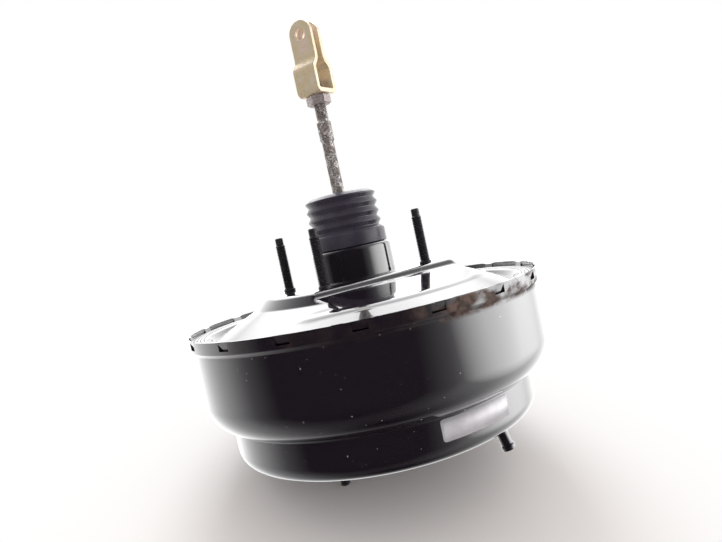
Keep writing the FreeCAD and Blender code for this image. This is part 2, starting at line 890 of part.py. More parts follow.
# Boot: a cuff over the neck, a row of folds and a domed end round the push rod
cuff_foot = size("neck_top") + size("boot_gap")
cuff_top = cuff_foot + size("boot_cuff_height")
boot_wall = size("boot_wall")
spigot_foot = bearing_top + size("stack_gap")
crest_radius = size("boot_crest_radius")
valley_radius = size("boot_valley_radius")
half_pitch = size("boot_pitch") / 2
boot_outside = [
    (size("boot_spigot_radius"), spigot_foot),
    (size("boot_spigot_radius"), cuff_foot),
    (size("boot_cuff_radius"), cuff_foot),
    (size("boot_cuff_radius"), cuff_top, size("boot_cuff_edge")),
]
boot_inside = []
for fold in range(SIZES["boot_folds"]):
    crest = size("boot_first_crest") + size("boot_pitch") * fold
    valley = crest - half_pitch
    boot_outside += [
        (valley_radius, valley, size("boot_valley_bend")),
        (crest_radius, crest, size("boot_crest_bend")),
    ]
    boot_inside += [
        (valley_radius - boot_wall, valley, size("boot_crest_bend")),
        (crest_radius - boot_wall, crest, size("boot_valley_bend")),
    ]
rod_hole = size("rod_radius") + size("soft_gap")
boot = add_body("boot")
revolve(boot, "boot_turned", boot_outside + [
    (size("boot_shoulder"), size("boot_top"), size("boot_crest_bend")),
    (rod_hole, size("boot_top")),
    (rod_hole, size("boot_top") - boot_wall),
    (size("boot_shoulder"), size("boot_top") - boot_wall),
] + list(reversed(boot_inside)) + [
    (size("boot_bore"), cuff_top - boot_wall),
    (size("boot_bore"), spigot_foot),
])

# Valve body: rear tube, poppet chamber, plunger bore and front hub
plunger_bore = size("plunger_radius") + size("running_gap")
nose_bore = size("plunger_nose_radius") + size("soft_gap")
hub_radius = size("hub_radius")
valve_body = add_body("valve_body")
revolve(valve_body, "valve_body_turned", [
    (size("tube_bore"), size("tube_top")),
    (size("tube_bore"), size("chamber_top")),
    (size("chamber_radius"), size("chamber_top")),
    (size("chamber_radius"), size("chamber_floor")),
    (size("seat_outer"), size("chamber_floor")),
    (size("seat_outer"), size("seat_top")),
    (size("seat_inner"), size("seat_top")),
    (size("seat_inner"), size("chamber_floor")),
    (plunger_bore, size("chamber_floor")),
    (plunger_bore, size("nose_bore_top")),
    (nose_bore, size("nose_bore_top")),
    (nose_bore, size("reaction_floor")),
    (size("reaction_bore"), size("reaction_floor")),
    (size("reaction_bore"), size("hub_foot")),
    (hub_radius, size("hub_foot"), size("tube_edge")),
    (hub_radius, size("shoulder_foot")),
    (size("shoulder_radius"), size("shoulder_foot")),
    (size("shoulder_radius"), size("shoulder_top"), size("tube_edge")),
    (tube_radius, size("shoulder_top")),
    (tube_radius, size("tube_top"), size("tube_edge")),
])

# Stop key: a forked plate in a slot of the valve body, which holds the plunger by its groove
key_foot = size("key_top") - size("key_thick")
key_level = key_foot - size("soft_gap")
key_half = size("key_width") / 2
groove_fork = size("groove_radius") + size("soft_gap")

slot = doc.addObject("Part::Box", "key_slot_space")
bind(slot, "Length", size("key_width") + size("soft_gap") * 2)
bind(slot, "Width", size("key_reach") + size("key_back") + size("soft_gap"))
bind(slot, "Height", size("key_thick") + size("soft_gap") * 2)
bind(slot, "Placement.Base.x", -key_half - size("soft_gap"))
bind(slot, "Placement.Base.y", -size("key_back") - size("soft_gap"))
bind(slot, "Placement.Base.z", key_level)
valve_body.Label = "valve_body_blank"
slotted_valve_body = boolean("Cut", "valve_body_slotted", valve_body, slot)
slotted_valve_body.Label = "valve_body"

stop_key = add_body("stop_key")
key_sketch = add_sketch(stop_key, "key_outline", "XY_Plane")
draw_outline(key_sketch, [
    (-key_half, -size("key_back")),
    (-groove_fork, -size("key_back")),
    (-groove_fork, groove_fork, size("key_thick")),
    (groove_fork, groove_fork, size("key_thick")),
    (groove_fork, -size("key_back")),
    (key_half, -size("key_back")),
    (key_half, size("key_reach"), size("key_thick")),
    (-key_half, size("key_reach"), size("key_thick")),
])
key_pad = stop_key.newObject("PartDesign::Pad", "key_plate")
key_pad.Profile = key_sketch
bind(key_pad, "Length", size("key_thick"))
bind(stop_key, "Placement.Base.z", key_foot)

# Plunger: air valve seat, ball socket, key groove and nose
plunger_radius = size("plunger_radius")
socket_radius = size("ball_radius") + size("ball_gap")
groove_top = size("key_top") + size("plunger_travel") + size("soft_gap")
groove_foot = key_foot - size("soft_gap")
plunger_blank = add_body("plunger_blank")
revolve(plunger_blank, "plunger_turned", [
    (0, size("plunger_nose")),
    (size("plunger_nose_radius"), size("plunger_nose")),
    (size("plunger_nose_radius"), size("plunger_foot")),
    (plunger_radius, size("plunger_foot")),
    (plunger_radius, groove_foot),
    (size("groove_radius"), groove_foot),
    (size("groove_radius"), groove_top),
    (plunger_radius, groove_top),
    (plunger_radius, size("plunger_head_foot")),
    (size("plunger_head_radius"), size("plunger_head_foot")),
    (size("plunger_head_radius"), size("plunger_top")),
    (0, size("plunger_top")),
])
socket_ball = solid_between("Sphere", "socket_ball", size("ball_level"), Radius=socket_radius)
socket_mouth = solid_between("Cylinder", "socket_mouth", size("ball_level"), Radius=socket_radius,
                             Height=size("plunger_top") - size("ball_level") + size("retainer_thick"))
socket_space = boolean("Fuse", "socket_space", socket_ball, socket_mouth)
valve_plunger = boolean("Cut", "valve_plunger", plunger_blank, socket_space)

# Reaction disc, output rod and its adjusting screw
reaction_radius = size("reaction_bore") - size("soft_gap")
disc_top = size("reaction_floor") - size("stack_gap")
disc_foot = disc_top - size("disc_thick")
head_top = disc_foot - size("stack_gap")
head_foot = head_top - size("output_head_thick")
reaction_disc = solid_between("Cylinder", "reaction_disc", disc_foot, Radius=reaction_radius,
                              Height=size("disc_thick"))
rod_end = size("output_rod_end")
screw_hole_top = rod_end + size("screw_shank_length")
output_rod = add_body("output_rod")
revolve(output_rod, "output_rod_turned", [
    (0, head_top),
    (0, screw_hole_top + size("stack_gap")),
    (size("screw_shank_radius"), screw_hole_top + size("stack_gap")),
    (size("screw_shank_radius"), rod_end),
    (size("output_rod_radius"), rod_end),
    (size("output_rod_radius"), head_foot, size("front_bore_bend")),
    (reaction_radius, head_foot),
    (reaction_radius, head_top),
])
adjusting_screw = add_body("adjusting_screw")
revolve(adjusting_screw, "adjusting_screw_turned", [
    (0, size("screw_tip")),
    (size("screw_head_radius"), size("screw_tip"), size("screw_shank_radius")),
    (size("screw_head_radius"), rod_end),
    (size("screw_shank_radius"), rod_end),
    (size("screw_shank_radius"), screw_hole_top),
    (0, screw_hole_top),
])

# Diaphragm plate, pressed to a shallow dish with a lip, and the rolling diaphragm on it
diaphragm_wall = size("diaphragm_wall")
drum_inside = drum_radius - front_wall - size("soft_gap")
roll_outer = drum_inside - size("roll_margin")
roll_inner = roll_outer - size("roll_width")
plate_rim_radius = roll_inner - diaphragm_wall - size("plate_rim_fit")
bead_inner = roll_outer - size("bead_step")
plate_top = size("shoulder_foot") - size("soft_gap")
plate_rim_top = plate_top - size("plate_rim_drop")
plate_side = [
    (hub_radius + size("soft_gap"), plate_top),
    (size("plate_flat_radius"), plate_top, size("plate_bend")),
    (plate_rim_radius, plate_rim_top, size("plate_bend")),
    (plate_rim_radius, plate_rim_top - size("plate_lip")),
]
diaphragm_plate = add_body("diaphragm_plate")
revolve(diaphragm_plate, "diaphragm_plate_turned", sheet_outline(plate_side, size("plate_wall")))

skin_top = plate_top + size("soft_gap") + diaphragm_wall
skin_rim_top = plate_rim_top + diaphragm_wall
bead_top = flange_under - size("stack_gap")
bead_foot = bead_top - size("bead_height")
ledge_inside = band_inside - size("soft_gap") * 2
diaphragm_side = [
    (size("shoulder_radius") + size("soft_gap"), skin_top),
    (size("plate_flat_radius"), skin_top, size("plate_bend") + diaphragm_wall),
    (roll_inner, skin_rim_top, size("plate_bend") + diaphragm_wall),
    (roll_inner, size("roll_foot"), size("roll_bend")),
    (roll_outer, size("roll_foot"), size("roll_bend")),
    (roll_outer, bead_foot + size("stack_gap")),
]
diaphragm = add_body("diaphragm")
revolve(diaphragm, "diaphragm_skin", sheet_outline(diaphragm_side, diaphragm_wall))
revolve(diaphragm, "diaphragm_bead", [
    (bead_inner, bead_foot),
    (drum_inside, bead_foot),
    (drum_inside, size("rim_foot") - size("ledge_drop") + front_wall / 2),
    (ledge_inside, size("rim_foot") + front_wall / 3),
    (ledge_inside, bead_top),
    (bead_inner, bead_top),
])

# Return spring between the front plate and the diaphragm plate
spring_top = plate_top - size("plate_wall") - size("soft_gap")
spring_foot = front_plate_top + size("soft_gap")
return_spring = spring("return_spring", size("return_wire"), size("return_radius"), size("return_turns"),
                       spring_foot, spring_top)

# Poppet valve with its retainer cup, springs, silencer and air filter inside the valve body's tube
poppet_outer = size("chamber_radius") - size("soft_gap")
bore_fit = size("tube_bore") - size("soft_gap")
bead_level = size("chamber_top") + size("stack_gap")
poppet_top = bead_level + size("poppet_bead")
poppet_skin = size("poppet_skin")
poppet_valve = add_body("poppet_valve")
revolve(poppet_valve, "poppet_valve_turned", [
    (size("poppet_bore"), size("poppet_face")),
    (poppet_outer, size("poppet_face")),
    (poppet_outer, bead_level),
    (bore_fit, bead_level),
    (bore_fit, poppet_top),
    (poppet_outer - poppet_skin, poppet_top),
    (poppet_outer - poppet_skin, size("poppet_face") + poppet_skin),
    (size("poppet_bore"), size("poppet_face") + poppet_skin),
])
cup_foot = poppet_top + size("stack_gap")
cup_floor = cup_foot + size("retainer_wall")
poppet_retainer = add_body("poppet_retainer")
revolve(poppet_retainer, "poppet_retainer_turned", [
    (size("cup_bore"), cup_foot),
    (bore_fit, cup_foot),
    (bore_fit, cup_foot + size("cup_height")),
    (bore_fit - size("retainer_wall"), cup_foot + size("cup_height")),
    (bore_fit - size("retainer_wall"), cup_floor),
    (size("cup_bore"), cup_floor),
])
seat_level = size("spring_seat_level")
rod_return_spring = spring("rod_return_spring", size("rod_spring_wire"), size("rod_spring_radius"),
                           size("rod_spring_turns"), cup_floor + size("stack_gap"),
                           seat_level - size("stack_gap"))
poppet_spring = spring("poppet_spring", size("poppet_spring_wire"), size("poppet_spring_radius"),
                       size("poppet_spring_turns"),
                       size("poppet_face") + poppet_skin + size("stack_gap"),
                       seat_level - size("stack_gap"))
silencer_top = size("silencer_foot") + size("silencer_height")
silencer = ring("silencer", size("filter_bore"), bore_fit, size("silencer_foot"), silencer_top)
filter_foot = silencer_top + size("stack_gap")
filter_top = filter_foot + size("filter_height")
air_filter = ring("air_filter", size("filter_bore"), bore_fit, filter_foot, filter_top)

# Push rod: ball end, neck, collar for the spring seat, thick length, undercut and thread
rod_radius = size("rod_radius")
seat_top_level = seat_level + size("spring_seat_thick")
collar_top = seat_top_level + size("rod_collar_height")
thread_foot = size("rod_thick_top") + size("rod_undercut_height")
rod_shank = add_body("rod_shank")
revolve(rod_shank, "rod_shank_turned", [
    (0, size("ball_level")),
    (size("rod_neck_radius"), size("ball_level")),
    (size("rod_neck_radius"), size("rod_neck_top") - size("rod_taper")),
    (rod_radius, size("rod_neck_top")),
    (rod_radius, seat_top_level),
    (size("rod_collar_radius"), seat_top_level),
    (size("rod_collar_radius"), collar_top),
    (rod_radius, collar_top + size("rod_taper")),
    (rod_radius, size("rod_thick_foot") - size("rod_taper")),
    (size("rod_thick_radius"), size("rod_thick_foot")),
    (size("rod_thick_radius"), size("rod_thick_top")),
    (size("rod_undercut_radius"), size("rod_thick_top")),
    (size("rod_undercut_radius"), thread_foot),
    (size("rod_thread_radius"), thread_foot),
    (size("rod_thread_radius"), size("rod_top") - size("rod_end_chamfer")),
    (size("rod_thread_radius") - size("rod_end_chamfer"), size("rod_top")),
    (0, size("rod_top")),
])
rod_ball = solid_between("Sphere", "rod_ball", size("ball_level"), Radius=size("ball_radius"))
push_rod = boolean("Fuse", "push_rod", rod_shank, rod_ball)
rod_spring_seat = ring("rod_spring_seat", rod_radius, size("spring_seat_radius"), seat_level,
                       seat_top_level)

# Lock nut: a hexagon with its corners turned off at both ends
nut_foot = size("clevis_foot") - size("nut_height")
corner_share = 1 / math.cos(math.radians(30))
nut_corner = size("nut_flats") / 2 * corner_share
nut_hexagon = solid_between("Prism", "nut_hexagon", nut_foot, Polygon=6, Circumradius=nut_corner,
                            Height=size("nut_height"))
nut_crown = add_body("nut_crown")
nut_chamfer = size("nut_chamfer")
revolve(nut_crown, "nut_crown_turned", [
    (size("rod_thread_radius"), nut_foot),
    (nut_corner - nut_chamfer * 2, nut_foot),
    (nut_corner, nut_foot + nut_chamfer),
    (nut_corner, size("clevis_foot") - nut_chamfer),
    (nut_corner - nut_chamfer * 2, size("clevis_foot")),
    (size("rod_thread_radius"), size("clevis_foot")),
])
lock_nut = boolean("Common", "lock_nut", nut_hexagon, nut_crown)

# Clevis: a strip bent to a U with joggled ears, drilled for the rod and for the pin
strip = size("clevis_strip")
half_foot = size("clevis_half_foot")
half_top = size("clevis_half_top")
clevis_left = [
    (-half_top, size("clevis_top")),
    (-half_top, size("joggle_top"), size("joggle_bend")),
    (-half_foot, size("joggle_foot"), size("joggle_bend")),
    (-half_foot, size("clevis_foot"), size("clevis_bend")),
]
clevis_right = [(-corner[0],) + corner[1:] for corner in reversed(clevis_left)]
clevis = add_body("clevis")
clevis_sketch = add_sketch(clevis, "clevis_strip_profile", "XZ_Plane")
draw_outline(clevis_sketch, sheet_outline(list(reversed(clevis_left + clevis_right)), strip))
clevis_pad = clevis.newObject("PartDesign::Pad", "clevis_strip_bent")
clevis_pad.Profile = clevis_sketch
clevis_pad.Midplane = True
bind(clevis_pad, "Length", size("clevis_width"))


def rod_hole_circle(sketch):
    draw_circle(sketch, 0, 0, size("rod_thread_radius"))


def pin_hole_circle(sketch):
    draw_circle(sketch, 0, size("pin_level"), size("pin_hole_radius"))


cut_through(clevis, "rod_hole", "XY_Plane", rod_hole_circle)
cut_through(clevis, "pin_hole", "YZ_Plane", pin_hole_circle)
clevis_half = size("clevis_width") / 2
fillet_edges(clevis, "ear_ends", clevis_half - size("stack_gap"), lambda edge, middle: (
    is_close(middle.z, size("clevis_top")) and is_close(abs(middle.y), clevis_half)))
clevis.Placement.Rotation = FreeCAD.Rotation(FreeCAD.Vector(0, 0, 1), SIZES["clevis_turn"])

doc.recompute()

# Every sub-part with the name of its node
NODES = {
    "front_shell": front_shell,
    "rear_shell": rear_shell,
    "firewall_studs": firewall_studs,
    "rear_reinforcement_plate": rear_plate,
    "master_cylinder_studs": front_studs,
    "front_reinforcement_plate": front_plate,
    "vacuum_nipple": vacuum_nipple,
    "seal_retainer": seal_retainer,
    "body_seal": body_seal,
    "neck_bearing": neck_bearing,
    "front_seal": front_seal,
    "boot": boot,
    "diaphragm": diaphragm,
    "return_spring": return_spring,
    "valve_body": slotted_valve_body,
    "diaphragm_plate": diaphragm_plate,
    "stop_key": stop_key,
    "reaction_disc": reaction_disc,
    "output_rod": output_rod,
    "adjusting_screw": adjusting_screw,
    "poppet_valve": poppet_valve,
    "poppet_retainer": poppet_retainer,
    "silencer": silencer,
    "air_filter": air_filter,
    "rod_return_spring": rod_return_spring,
    "poppet_spring": poppet_spring,
    "valve_plunger": valve_plunger,
    "push_rod": push_rod,
    "rod_spring_seat": rod_spring_seat,
    "lock_nut": lock_nut,
    "clevis": clevis,
}

faults = []
for item in doc.Objects:
    if "Invalid" in item.State or "Error" in item.State:
        faults.append("%s is %s" % (item.Name, item.State))
for node, item in NODES.items():
    if item.Shape.isNull() or not item.Shape.isValid():
        faults.append("%s has no valid shape" % node)
if faults:
    raise RuntimeError("; ".join(faults))

os.makedirs("parts", exist_ok=True)
for node, item in NODES.items():
    item.Shape.exportStep(os.path.join("parts", node + ".step"))
    box = item.Shape.BoundBox
    print("%-26s solids %d  volume %9.0f mm3  z %7.1f to %6.1f" % (
        node, len(item.Shape.Solids), item.Shape.Volume, box.ZMin, box.ZMax))
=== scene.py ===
# %% [markdown]
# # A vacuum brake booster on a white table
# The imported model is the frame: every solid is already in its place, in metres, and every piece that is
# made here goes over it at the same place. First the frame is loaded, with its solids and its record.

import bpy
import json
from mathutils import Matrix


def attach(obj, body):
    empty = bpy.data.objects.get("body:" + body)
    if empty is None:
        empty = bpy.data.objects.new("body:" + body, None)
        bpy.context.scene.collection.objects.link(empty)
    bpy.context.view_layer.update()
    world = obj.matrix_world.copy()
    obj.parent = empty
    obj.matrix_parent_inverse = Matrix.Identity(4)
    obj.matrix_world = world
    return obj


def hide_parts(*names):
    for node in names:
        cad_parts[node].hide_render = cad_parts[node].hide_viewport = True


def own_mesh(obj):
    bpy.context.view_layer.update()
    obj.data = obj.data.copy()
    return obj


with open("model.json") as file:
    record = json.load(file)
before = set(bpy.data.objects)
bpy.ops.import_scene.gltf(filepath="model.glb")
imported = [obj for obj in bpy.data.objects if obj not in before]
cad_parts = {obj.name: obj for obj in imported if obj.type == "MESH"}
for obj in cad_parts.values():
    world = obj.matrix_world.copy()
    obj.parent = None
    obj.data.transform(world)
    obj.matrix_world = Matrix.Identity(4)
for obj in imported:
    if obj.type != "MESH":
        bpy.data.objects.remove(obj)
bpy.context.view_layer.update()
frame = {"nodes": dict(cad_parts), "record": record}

# %% [markdown]
# The drawing of the part is in millimetres and Blender works in metres, so one factor turns a drawn size
# into a modelled one.

# %% Tools and unit
import json
import math

import bmesh
import bpy
from mathutils import Matrix, Vector

MM = 0.001
print("one drawn millimetre is", MM, "m")

# %% [markdown]
# ## Camera
# The booster was photographed from just above its rim, tipped over towards the back. The camera is set
# from its place and its directions in the part's own frame, so the part itself stays upright in its
# frame, and the camera leans instead.

# %% Camera
CAMERA_PLACE = Vector((-231.1, -430.7, 30.3)) * MM
CAMERA_RIGHT = Vector((0.8523, -0.4790, -0.2103))
CAMERA_UP = Vector((0.2079, -0.0589, 0.9764))
FOCAL_PIXELS = 598.155
PHOTO_WIDTH = 722
SENSOR_WIDTH = 36.0
NEAREST = 0.01

camera_data = bpy.data.cameras.new("camera")
camera_data.sensor_width = SENSOR_WIDTH
camera_data.lens = FOCAL_PIXELS / PHOTO_WIDTH * SENSOR_WIDTH
camera_data.clip_start = NEAREST
camera = bpy.data.objects.new("camera", camera_data)
bpy.context.scene.collection.objects.link(camera)
backward = CAMERA_RIGHT.cross(CAMERA_UP)
turn = Matrix((CAMERA_RIGHT, CAMERA_UP, backward)).transposed()
camera.matrix_world = Matrix.Translation(CAMERA_PLACE) @ turn.to_4x4()
bpy.context.scene.camera = camera
bpy.context.scene.view_settings.view_transform = "Standard"
print("lens:", round(camera_data.lens, 2), "mm")

# %% [markdown]
# ## Making a finish
# Every finish is one Principled shader with a few nodes before it that read the object's own coordinates
# in metres, so a pattern stays on the piece when it moves. These helpers keep each finish to a few lines:
# a noise, a ramp that turns it into a mask or a shade, a mix of two colours and a bump.


# %% Finish helpers
def new_finish(name, colour, roughness, metallic=0.0):
    """A material with its shader, and the node tree to add to."""
    material = bpy.data.materials.new(name)
    material.use_nodes = True
    tree = material.node_tree
    shader = tree.nodes["Principled BSDF"]
    shader.inputs["Base Color"].default_value = (*colour, 1.0)
    shader.inputs["Roughness"].default_value = roughness
    shader.inputs["Metallic"].default_value = metallic
    return material, tree, shader


def place_of(tree, stretch=(1.0, 1.0, 1.0)):
    """The object's own coordinates, stretched along each axis."""
    coordinates = tree.nodes.new("ShaderNodeTexCoord")
    mapping = tree.nodes.new("ShaderNodeMapping")
    mapping.inputs["Scale"].default_value = stretch
    tree.links.new(coordinates.outputs["Object"], mapping.inputs["Vector"])
    return mapping.outputs["Vector"]


def noise(tree, scale, detail=4.0, stretch=(1.0, 1.0, 1.0)):
    """A cloudy pattern from 0 to 1; the scale is in cells per metre."""
    node = tree.nodes.new("ShaderNodeTexNoise")
    node.inputs["Scale"].default_value = scale
    node.inputs["Detail"].default_value = detail
    tree.links.new(place_of(tree, stretch), node.inputs["Vector"])
    return node.outputs["Fac"]


def ramp(tree, source, stops):
    """Turn a value into a shade; each stop is (position, grey) or (position, (r, g, b))."""
    node = tree.nodes.new("ShaderNodeValToRGB")
    elements = node.color_ramp.elements
    while len(elements) < len(stops):
        elements.new(0.5)
    for element, (position, shade) in zip(elements, stops):
        element.position = position
        element.color = (*shade, 1.0) if isinstance(shade, tuple) else (shade, shade, shade, 1.0)
    tree.links.new(source, node.inputs["Fac"])
    return node.outputs["Color"]


def plug(tree, value, socket):
    """Link a socket, or set a number or a colour on it."""
    if isinstance(value, bpy.types.NodeSocket):
        tree.links.new(value, socket)
    elif isinstance(value, tuple):
        socket.default_value = (*value, 1.0)
    else:
        socket.default_value = value


def mix(tree, share, first, second):
    """Go from the first colour to the second where the share is high."""
    node = tree.nodes.new("ShaderNodeMix")
    node.data_type = "RGBA"
    plug(tree, share, node.inputs["Factor"])
    plug(tree, first, node.inputs["A"])
    plug(tree, second, node.inputs["B"])
    return node.outputs["Result"]


def calculate(tree, operation, first, second, third=0.0):
    """A sum on two or three values, kept from 0 to 1."""
    node = tree.nodes.new("ShaderNodeMath")
    node.operation = operation
    node.use_clamp = True
    for index, value in enumerate((first, second, third)):
        plug(tree, value, node.inputs[index])
    return node.outputs["Value"]


def emboss(tree, shader, height, depth, strength=1.0):
    """Raise the surface where the height is high, by a depth in metres."""
    node = tree.nodes.new("ShaderNodeBump")
    node.inputs["Strength"].default_value = strength
    node.inputs["Distance"].default_value = depth
    tree.links.new(height, node.inputs["Height"])
    tree.links.new(node.outputs["Normal"], shader.inputs["Normal"])


def height_band(tree, foot, top, fade):
    """1 between two heights on the part's axis, with a soft end at each side."""
    split = tree.nodes.new("ShaderNodeSeparateXYZ")
    tree.links.new(place_of(tree), split.inputs["Vector"])
    above = calculate(tree, "MULTIPLY_ADD", split.outputs["Z"], 1 / fade, -foot / fade)
    below = calculate(tree, "MULTIPLY_ADD", split.outputs["Z"], -1 / fade, top / fade)
    return calculate(tree, "MULTIPLY", above, below)


def toward(tree, direction, start, fade):
    """1 on the side of the part that looks along a direction, past a distance from the axis."""
    node = tree.nodes.new("ShaderNodeVectorMath")
    node.operation = "DOT_PRODUCT"
    node.inputs[1].default_value = direction
    tree.links.new(place_of(tree), node.inputs[0])
    return calculate(tree, "MULTIPLY_ADD", node.outputs["Value"], 1 / fade, -start / fade)


print("finish helpers are ready")

# %% [markdown]
# ## Black paint
# The shells are dipped in gloss black. The gloss is a clear coat over a slightly brown black, with the
# faint waves of a sprayed surface, a little dust and a few small chips. On the rolled rim the paint is
# thin, so rust has come through: a brown mask there follows the rim's height and is strongest on the side
# to the right of the camera.

# %% Black paint
BLACK = (0.0105, 0.007, 0.012)
DUST = (0.09, 0.085, 0.085)
RUST_DARK = (0.03, 0.015, 0.012)
RUST_PALE = (0.13, 0.075, 0.058)
CHIP = (0.42, 0.40, 0.40)
RUST_SIDE = (0.2, -0.98, 0.0)
RUST_START = 122.0 * MM
RUST_FADE = 9.0 * MM
RUST_FOOT = -29.5 * MM
RUST_TOP = -13.0 * MM
RUST_EDGE = 3.0 * MM
PAINT_ROUGHNESS = 0.16
COAT_ROUGHNESS = 0.04
COAT_IOR = 2.1
WAVE_DEPTH = 0.012 * MM


def black_gloss(name, rusty):
    material, tree, shader = new_finish(name, BLACK, PAINT_ROUGHNESS)
    shader.inputs["Coat Weight"].default_value = 1.0
    shader.inputs["Coat Roughness"].default_value = COAT_ROUGHNESS
    shader.inputs["Coat IOR"].default_value = COAT_IOR
    dust = ramp(tree, noise(tree, 2600.0, 2.0), [(0.66, 0.0), (0.74, 0.55)])
    patches = ramp(tree, noise(tree, 30.0, 3.0), [(0.5, 0.0), (0.68, 1.0)])
    dusty = mix(tree, calculate(tree, "MULTIPLY", dust, patches), BLACK, DUST)
    chips = ramp(tree, noise(tree, 420.0, 3.0), [(0.735, 0.0), (0.75, 1.0)])
    colour = mix(tree, chips, dusty, CHIP)
    waves = ramp(tree, noise(tree, 160.0, 2.0), [(0.3, 0.0), (0.7, 1.0)])
    emboss(tree, shader, waves, WAVE_DEPTH)
    if rusty:
        band = height_band(tree, RUST_FOOT, RUST_TOP, RUST_EDGE)
        blots = ramp(tree, noise(tree, 55.0, 5.0, (1.0, 1.0, 1.6)), [(0.42, 0.0), (0.56, 1.0)])
        side = toward(tree, RUST_SIDE, RUST_START, RUST_FADE)
        reach = calculate(tree, "MULTIPLY_ADD", side, 0.9, 0.1)
        mask = calculate(tree, "MULTIPLY", calculate(tree, "MULTIPLY", band, blots), reach)
        tones = ramp(tree, noise(tree, 240.0, 5.0), [(0.35, RUST_DARK), (0.62, RUST_PALE)])
        colour = mix(tree, mask, colour, tones)
        coat = calculate(tree, "SUBTRACT", 1.0, mask)
        tree.links.new(coat, shader.inputs["Coat Weight"])
        dull = calculate(tree, "MULTIPLY_ADD", mask, 0.5, PAINT_ROUGHNESS)
        tree.links.new(dull, shader.inputs["Roughness"])
    tree.links.new(colour, shader.inputs["Base Color"])
    return material


front_paint = black_gloss("front_paint", True)
rear_paint = black_gloss("rear_paint", False)
print("paints:", front_paint.name, rear_paint.name)

# %% [markdown]
# ## Steel finishes
# Four bare or plated steels are seen. The studs have black phosphate, and the nut a paler one. The
# push rod is drawn bar that has begun to rust, so pale metal and brown pits are mixed along it. The clevis
# is yellow passivated zinc: gold with a green and pink cloud, and paler where it is worn.

# %% Steel finishes
PHOSPHATE = (0.035, 0.031, 0.036)
PHOSPHATE_WORN = (0.16, 0.15, 0.16)


def phosphate(name, dark, worn, start):
    material, tree, shader = new_finish(name, dark, 0.36, 0.4)
    cloud = ramp(tree, noise(tree, 900.0, 4.0), [(start, 0.0), (start + 0.2, 1.0)])
    tree.links.new(mix(tree, cloud, dark, worn), shader.inputs["Base Color"])
    rough = ramp(tree, noise(tree, 400.0, 3.0), [(0.3, 0.34), (0.7, 0.55)])
    tree.links.new(rough, shader.inputs["Roughness"])
    emboss(tree, shader, noise(tree, 3000.0, 2.0), 0.01 * MM)
    return material


stud_finish = phosphate("stud_phosphate", PHOSPHATE, PHOSPHATE_WORN, 0.55)
nut_finish = phosphate("nut_phosphate", (0.30, 0.25, 0.25), (0.55, 0.48, 0.47), 0.42)


def rusty_rod():
    bright = (0.72, 0.70, 0.68)
    brown = (0.34, 0.28, 0.25)
    dark = (0.15, 0.125, 0.12)
    material, tree, shader = new_finish("rod_steel", bright, 0.4, 0.3)
    cloud = ramp(tree, noise(tree, 260.0, 5.0, (1.0, 1.0, 0.55)), [(0.42, 0.0), (0.58, 1.0)])
    pits = ramp(tree, noise(tree, 900.0, 4.0), [(0.42, 0.0), (0.56, 1.0)])
    colour = mix(tree, cloud, bright, brown)
    colour = mix(tree, pits, colour, dark)
    tree.links.new(colour, shader.inputs["Base Color"])
    tree.links.new(ramp(tree, cloud, [(0.0, 0.32), (1.0, 0.7)]), shader.inputs["Roughness"])
    emboss(tree, shader, pits, 0.06 * MM)
    return material


def yellow_zinc():
    gold = (0.74, 0.58, 0.38)
    green = (0.74, 0.62, 0.40)
    pink = (0.80, 0.63, 0.51)
    grey = (0.76, 0.67, 0.56)
    material, tree, shader = new_finish("yellow_zinc", gold, 0.3, 0.4)
    cloud = ramp(tree, noise(tree, 42.0, 3.0), [(0.38, gold), (0.5, green), (0.62, pink)])
    worn = ramp(tree, noise(tree, 110.0, 5.0), [(0.5, 0.0), (0.7, 0.8)])
    tree.links.new(mix(tree, worn, cloud, grey), shader.inputs["Base Color"])
    rough = ramp(tree, noise(tree, 300.0, 4.0), [(0.3, 0.24), (0.7, 0.42)])
    tree.links.new(rough, shader.inputs["Roughness"])
    emboss(tree, shader, noise(tree, 1500.0, 3.0), 0.01 * MM)
    return material


rod_finish = rusty_rod()
clevis_finish = yellow_zinc()
print("steels:", stud_finish.name, nut_finish.name, rod_finish.name, clevis_finish.name)

# %% [markdown]
# ## Rubber, plastic and the label
# The boot is moulded rubber with a satin skin and a faint bloom in patches. The label is a bare strip of
# silver foil, a little mottled.

# %% Soft finishes


def rubber(name, colour, bloom, roughness):
    material, tree, shader = new_finish(name, colour, roughness)
    cloud = ramp(tree, noise(tree, 70.0, 4.0), [(0.4, 0.0), (0.75, 1.0)])
    tree.links.new(mix(tree, cloud, colour, bloom), shader.inputs["Base Color"])
    rough = ramp(tree, noise(tree, 180.0, 3.0), [(0.3, roughness - 0.06), (0.7, roughness + 0.08)])
    tree.links.new(rough, shader.inputs["Roughness"])
    emboss(tree, shader, noise(tree, 2400.0, 2.0), 0.015 * MM)
    return material


boot_finish = rubber("boot_rubber", (0.045, 0.036, 0.054), (0.07, 0.06, 0.08), 0.3)
seal_finish = rubber("seal_rubber", (0.02, 0.02, 0.02), (0.04, 0.04, 0.04), 0.6)
plastic_finish = rubber("moulded_plastic", (0.05, 0.05, 0.055), (0.07, 0.07, 0.075), 0.5)


def foil():
    silver = (0.64, 0.615, 0.65)
    pale = (0.76, 0.74, 0.77)
    material, tree, shader = new_finish("label_foil", silver, 0.38, 0.35)
    cloud = ramp(tree, noise(tree, 90.0, 4.0), [(0.35, 0.0), (0.65, 1.0)])
    tree.links.new(mix(tree, cloud, silver, pale), shader.inputs["Base Color"])
    emboss(tree, shader, noise(tree, 1200.0, 3.0), 0.01 * MM)
    return material


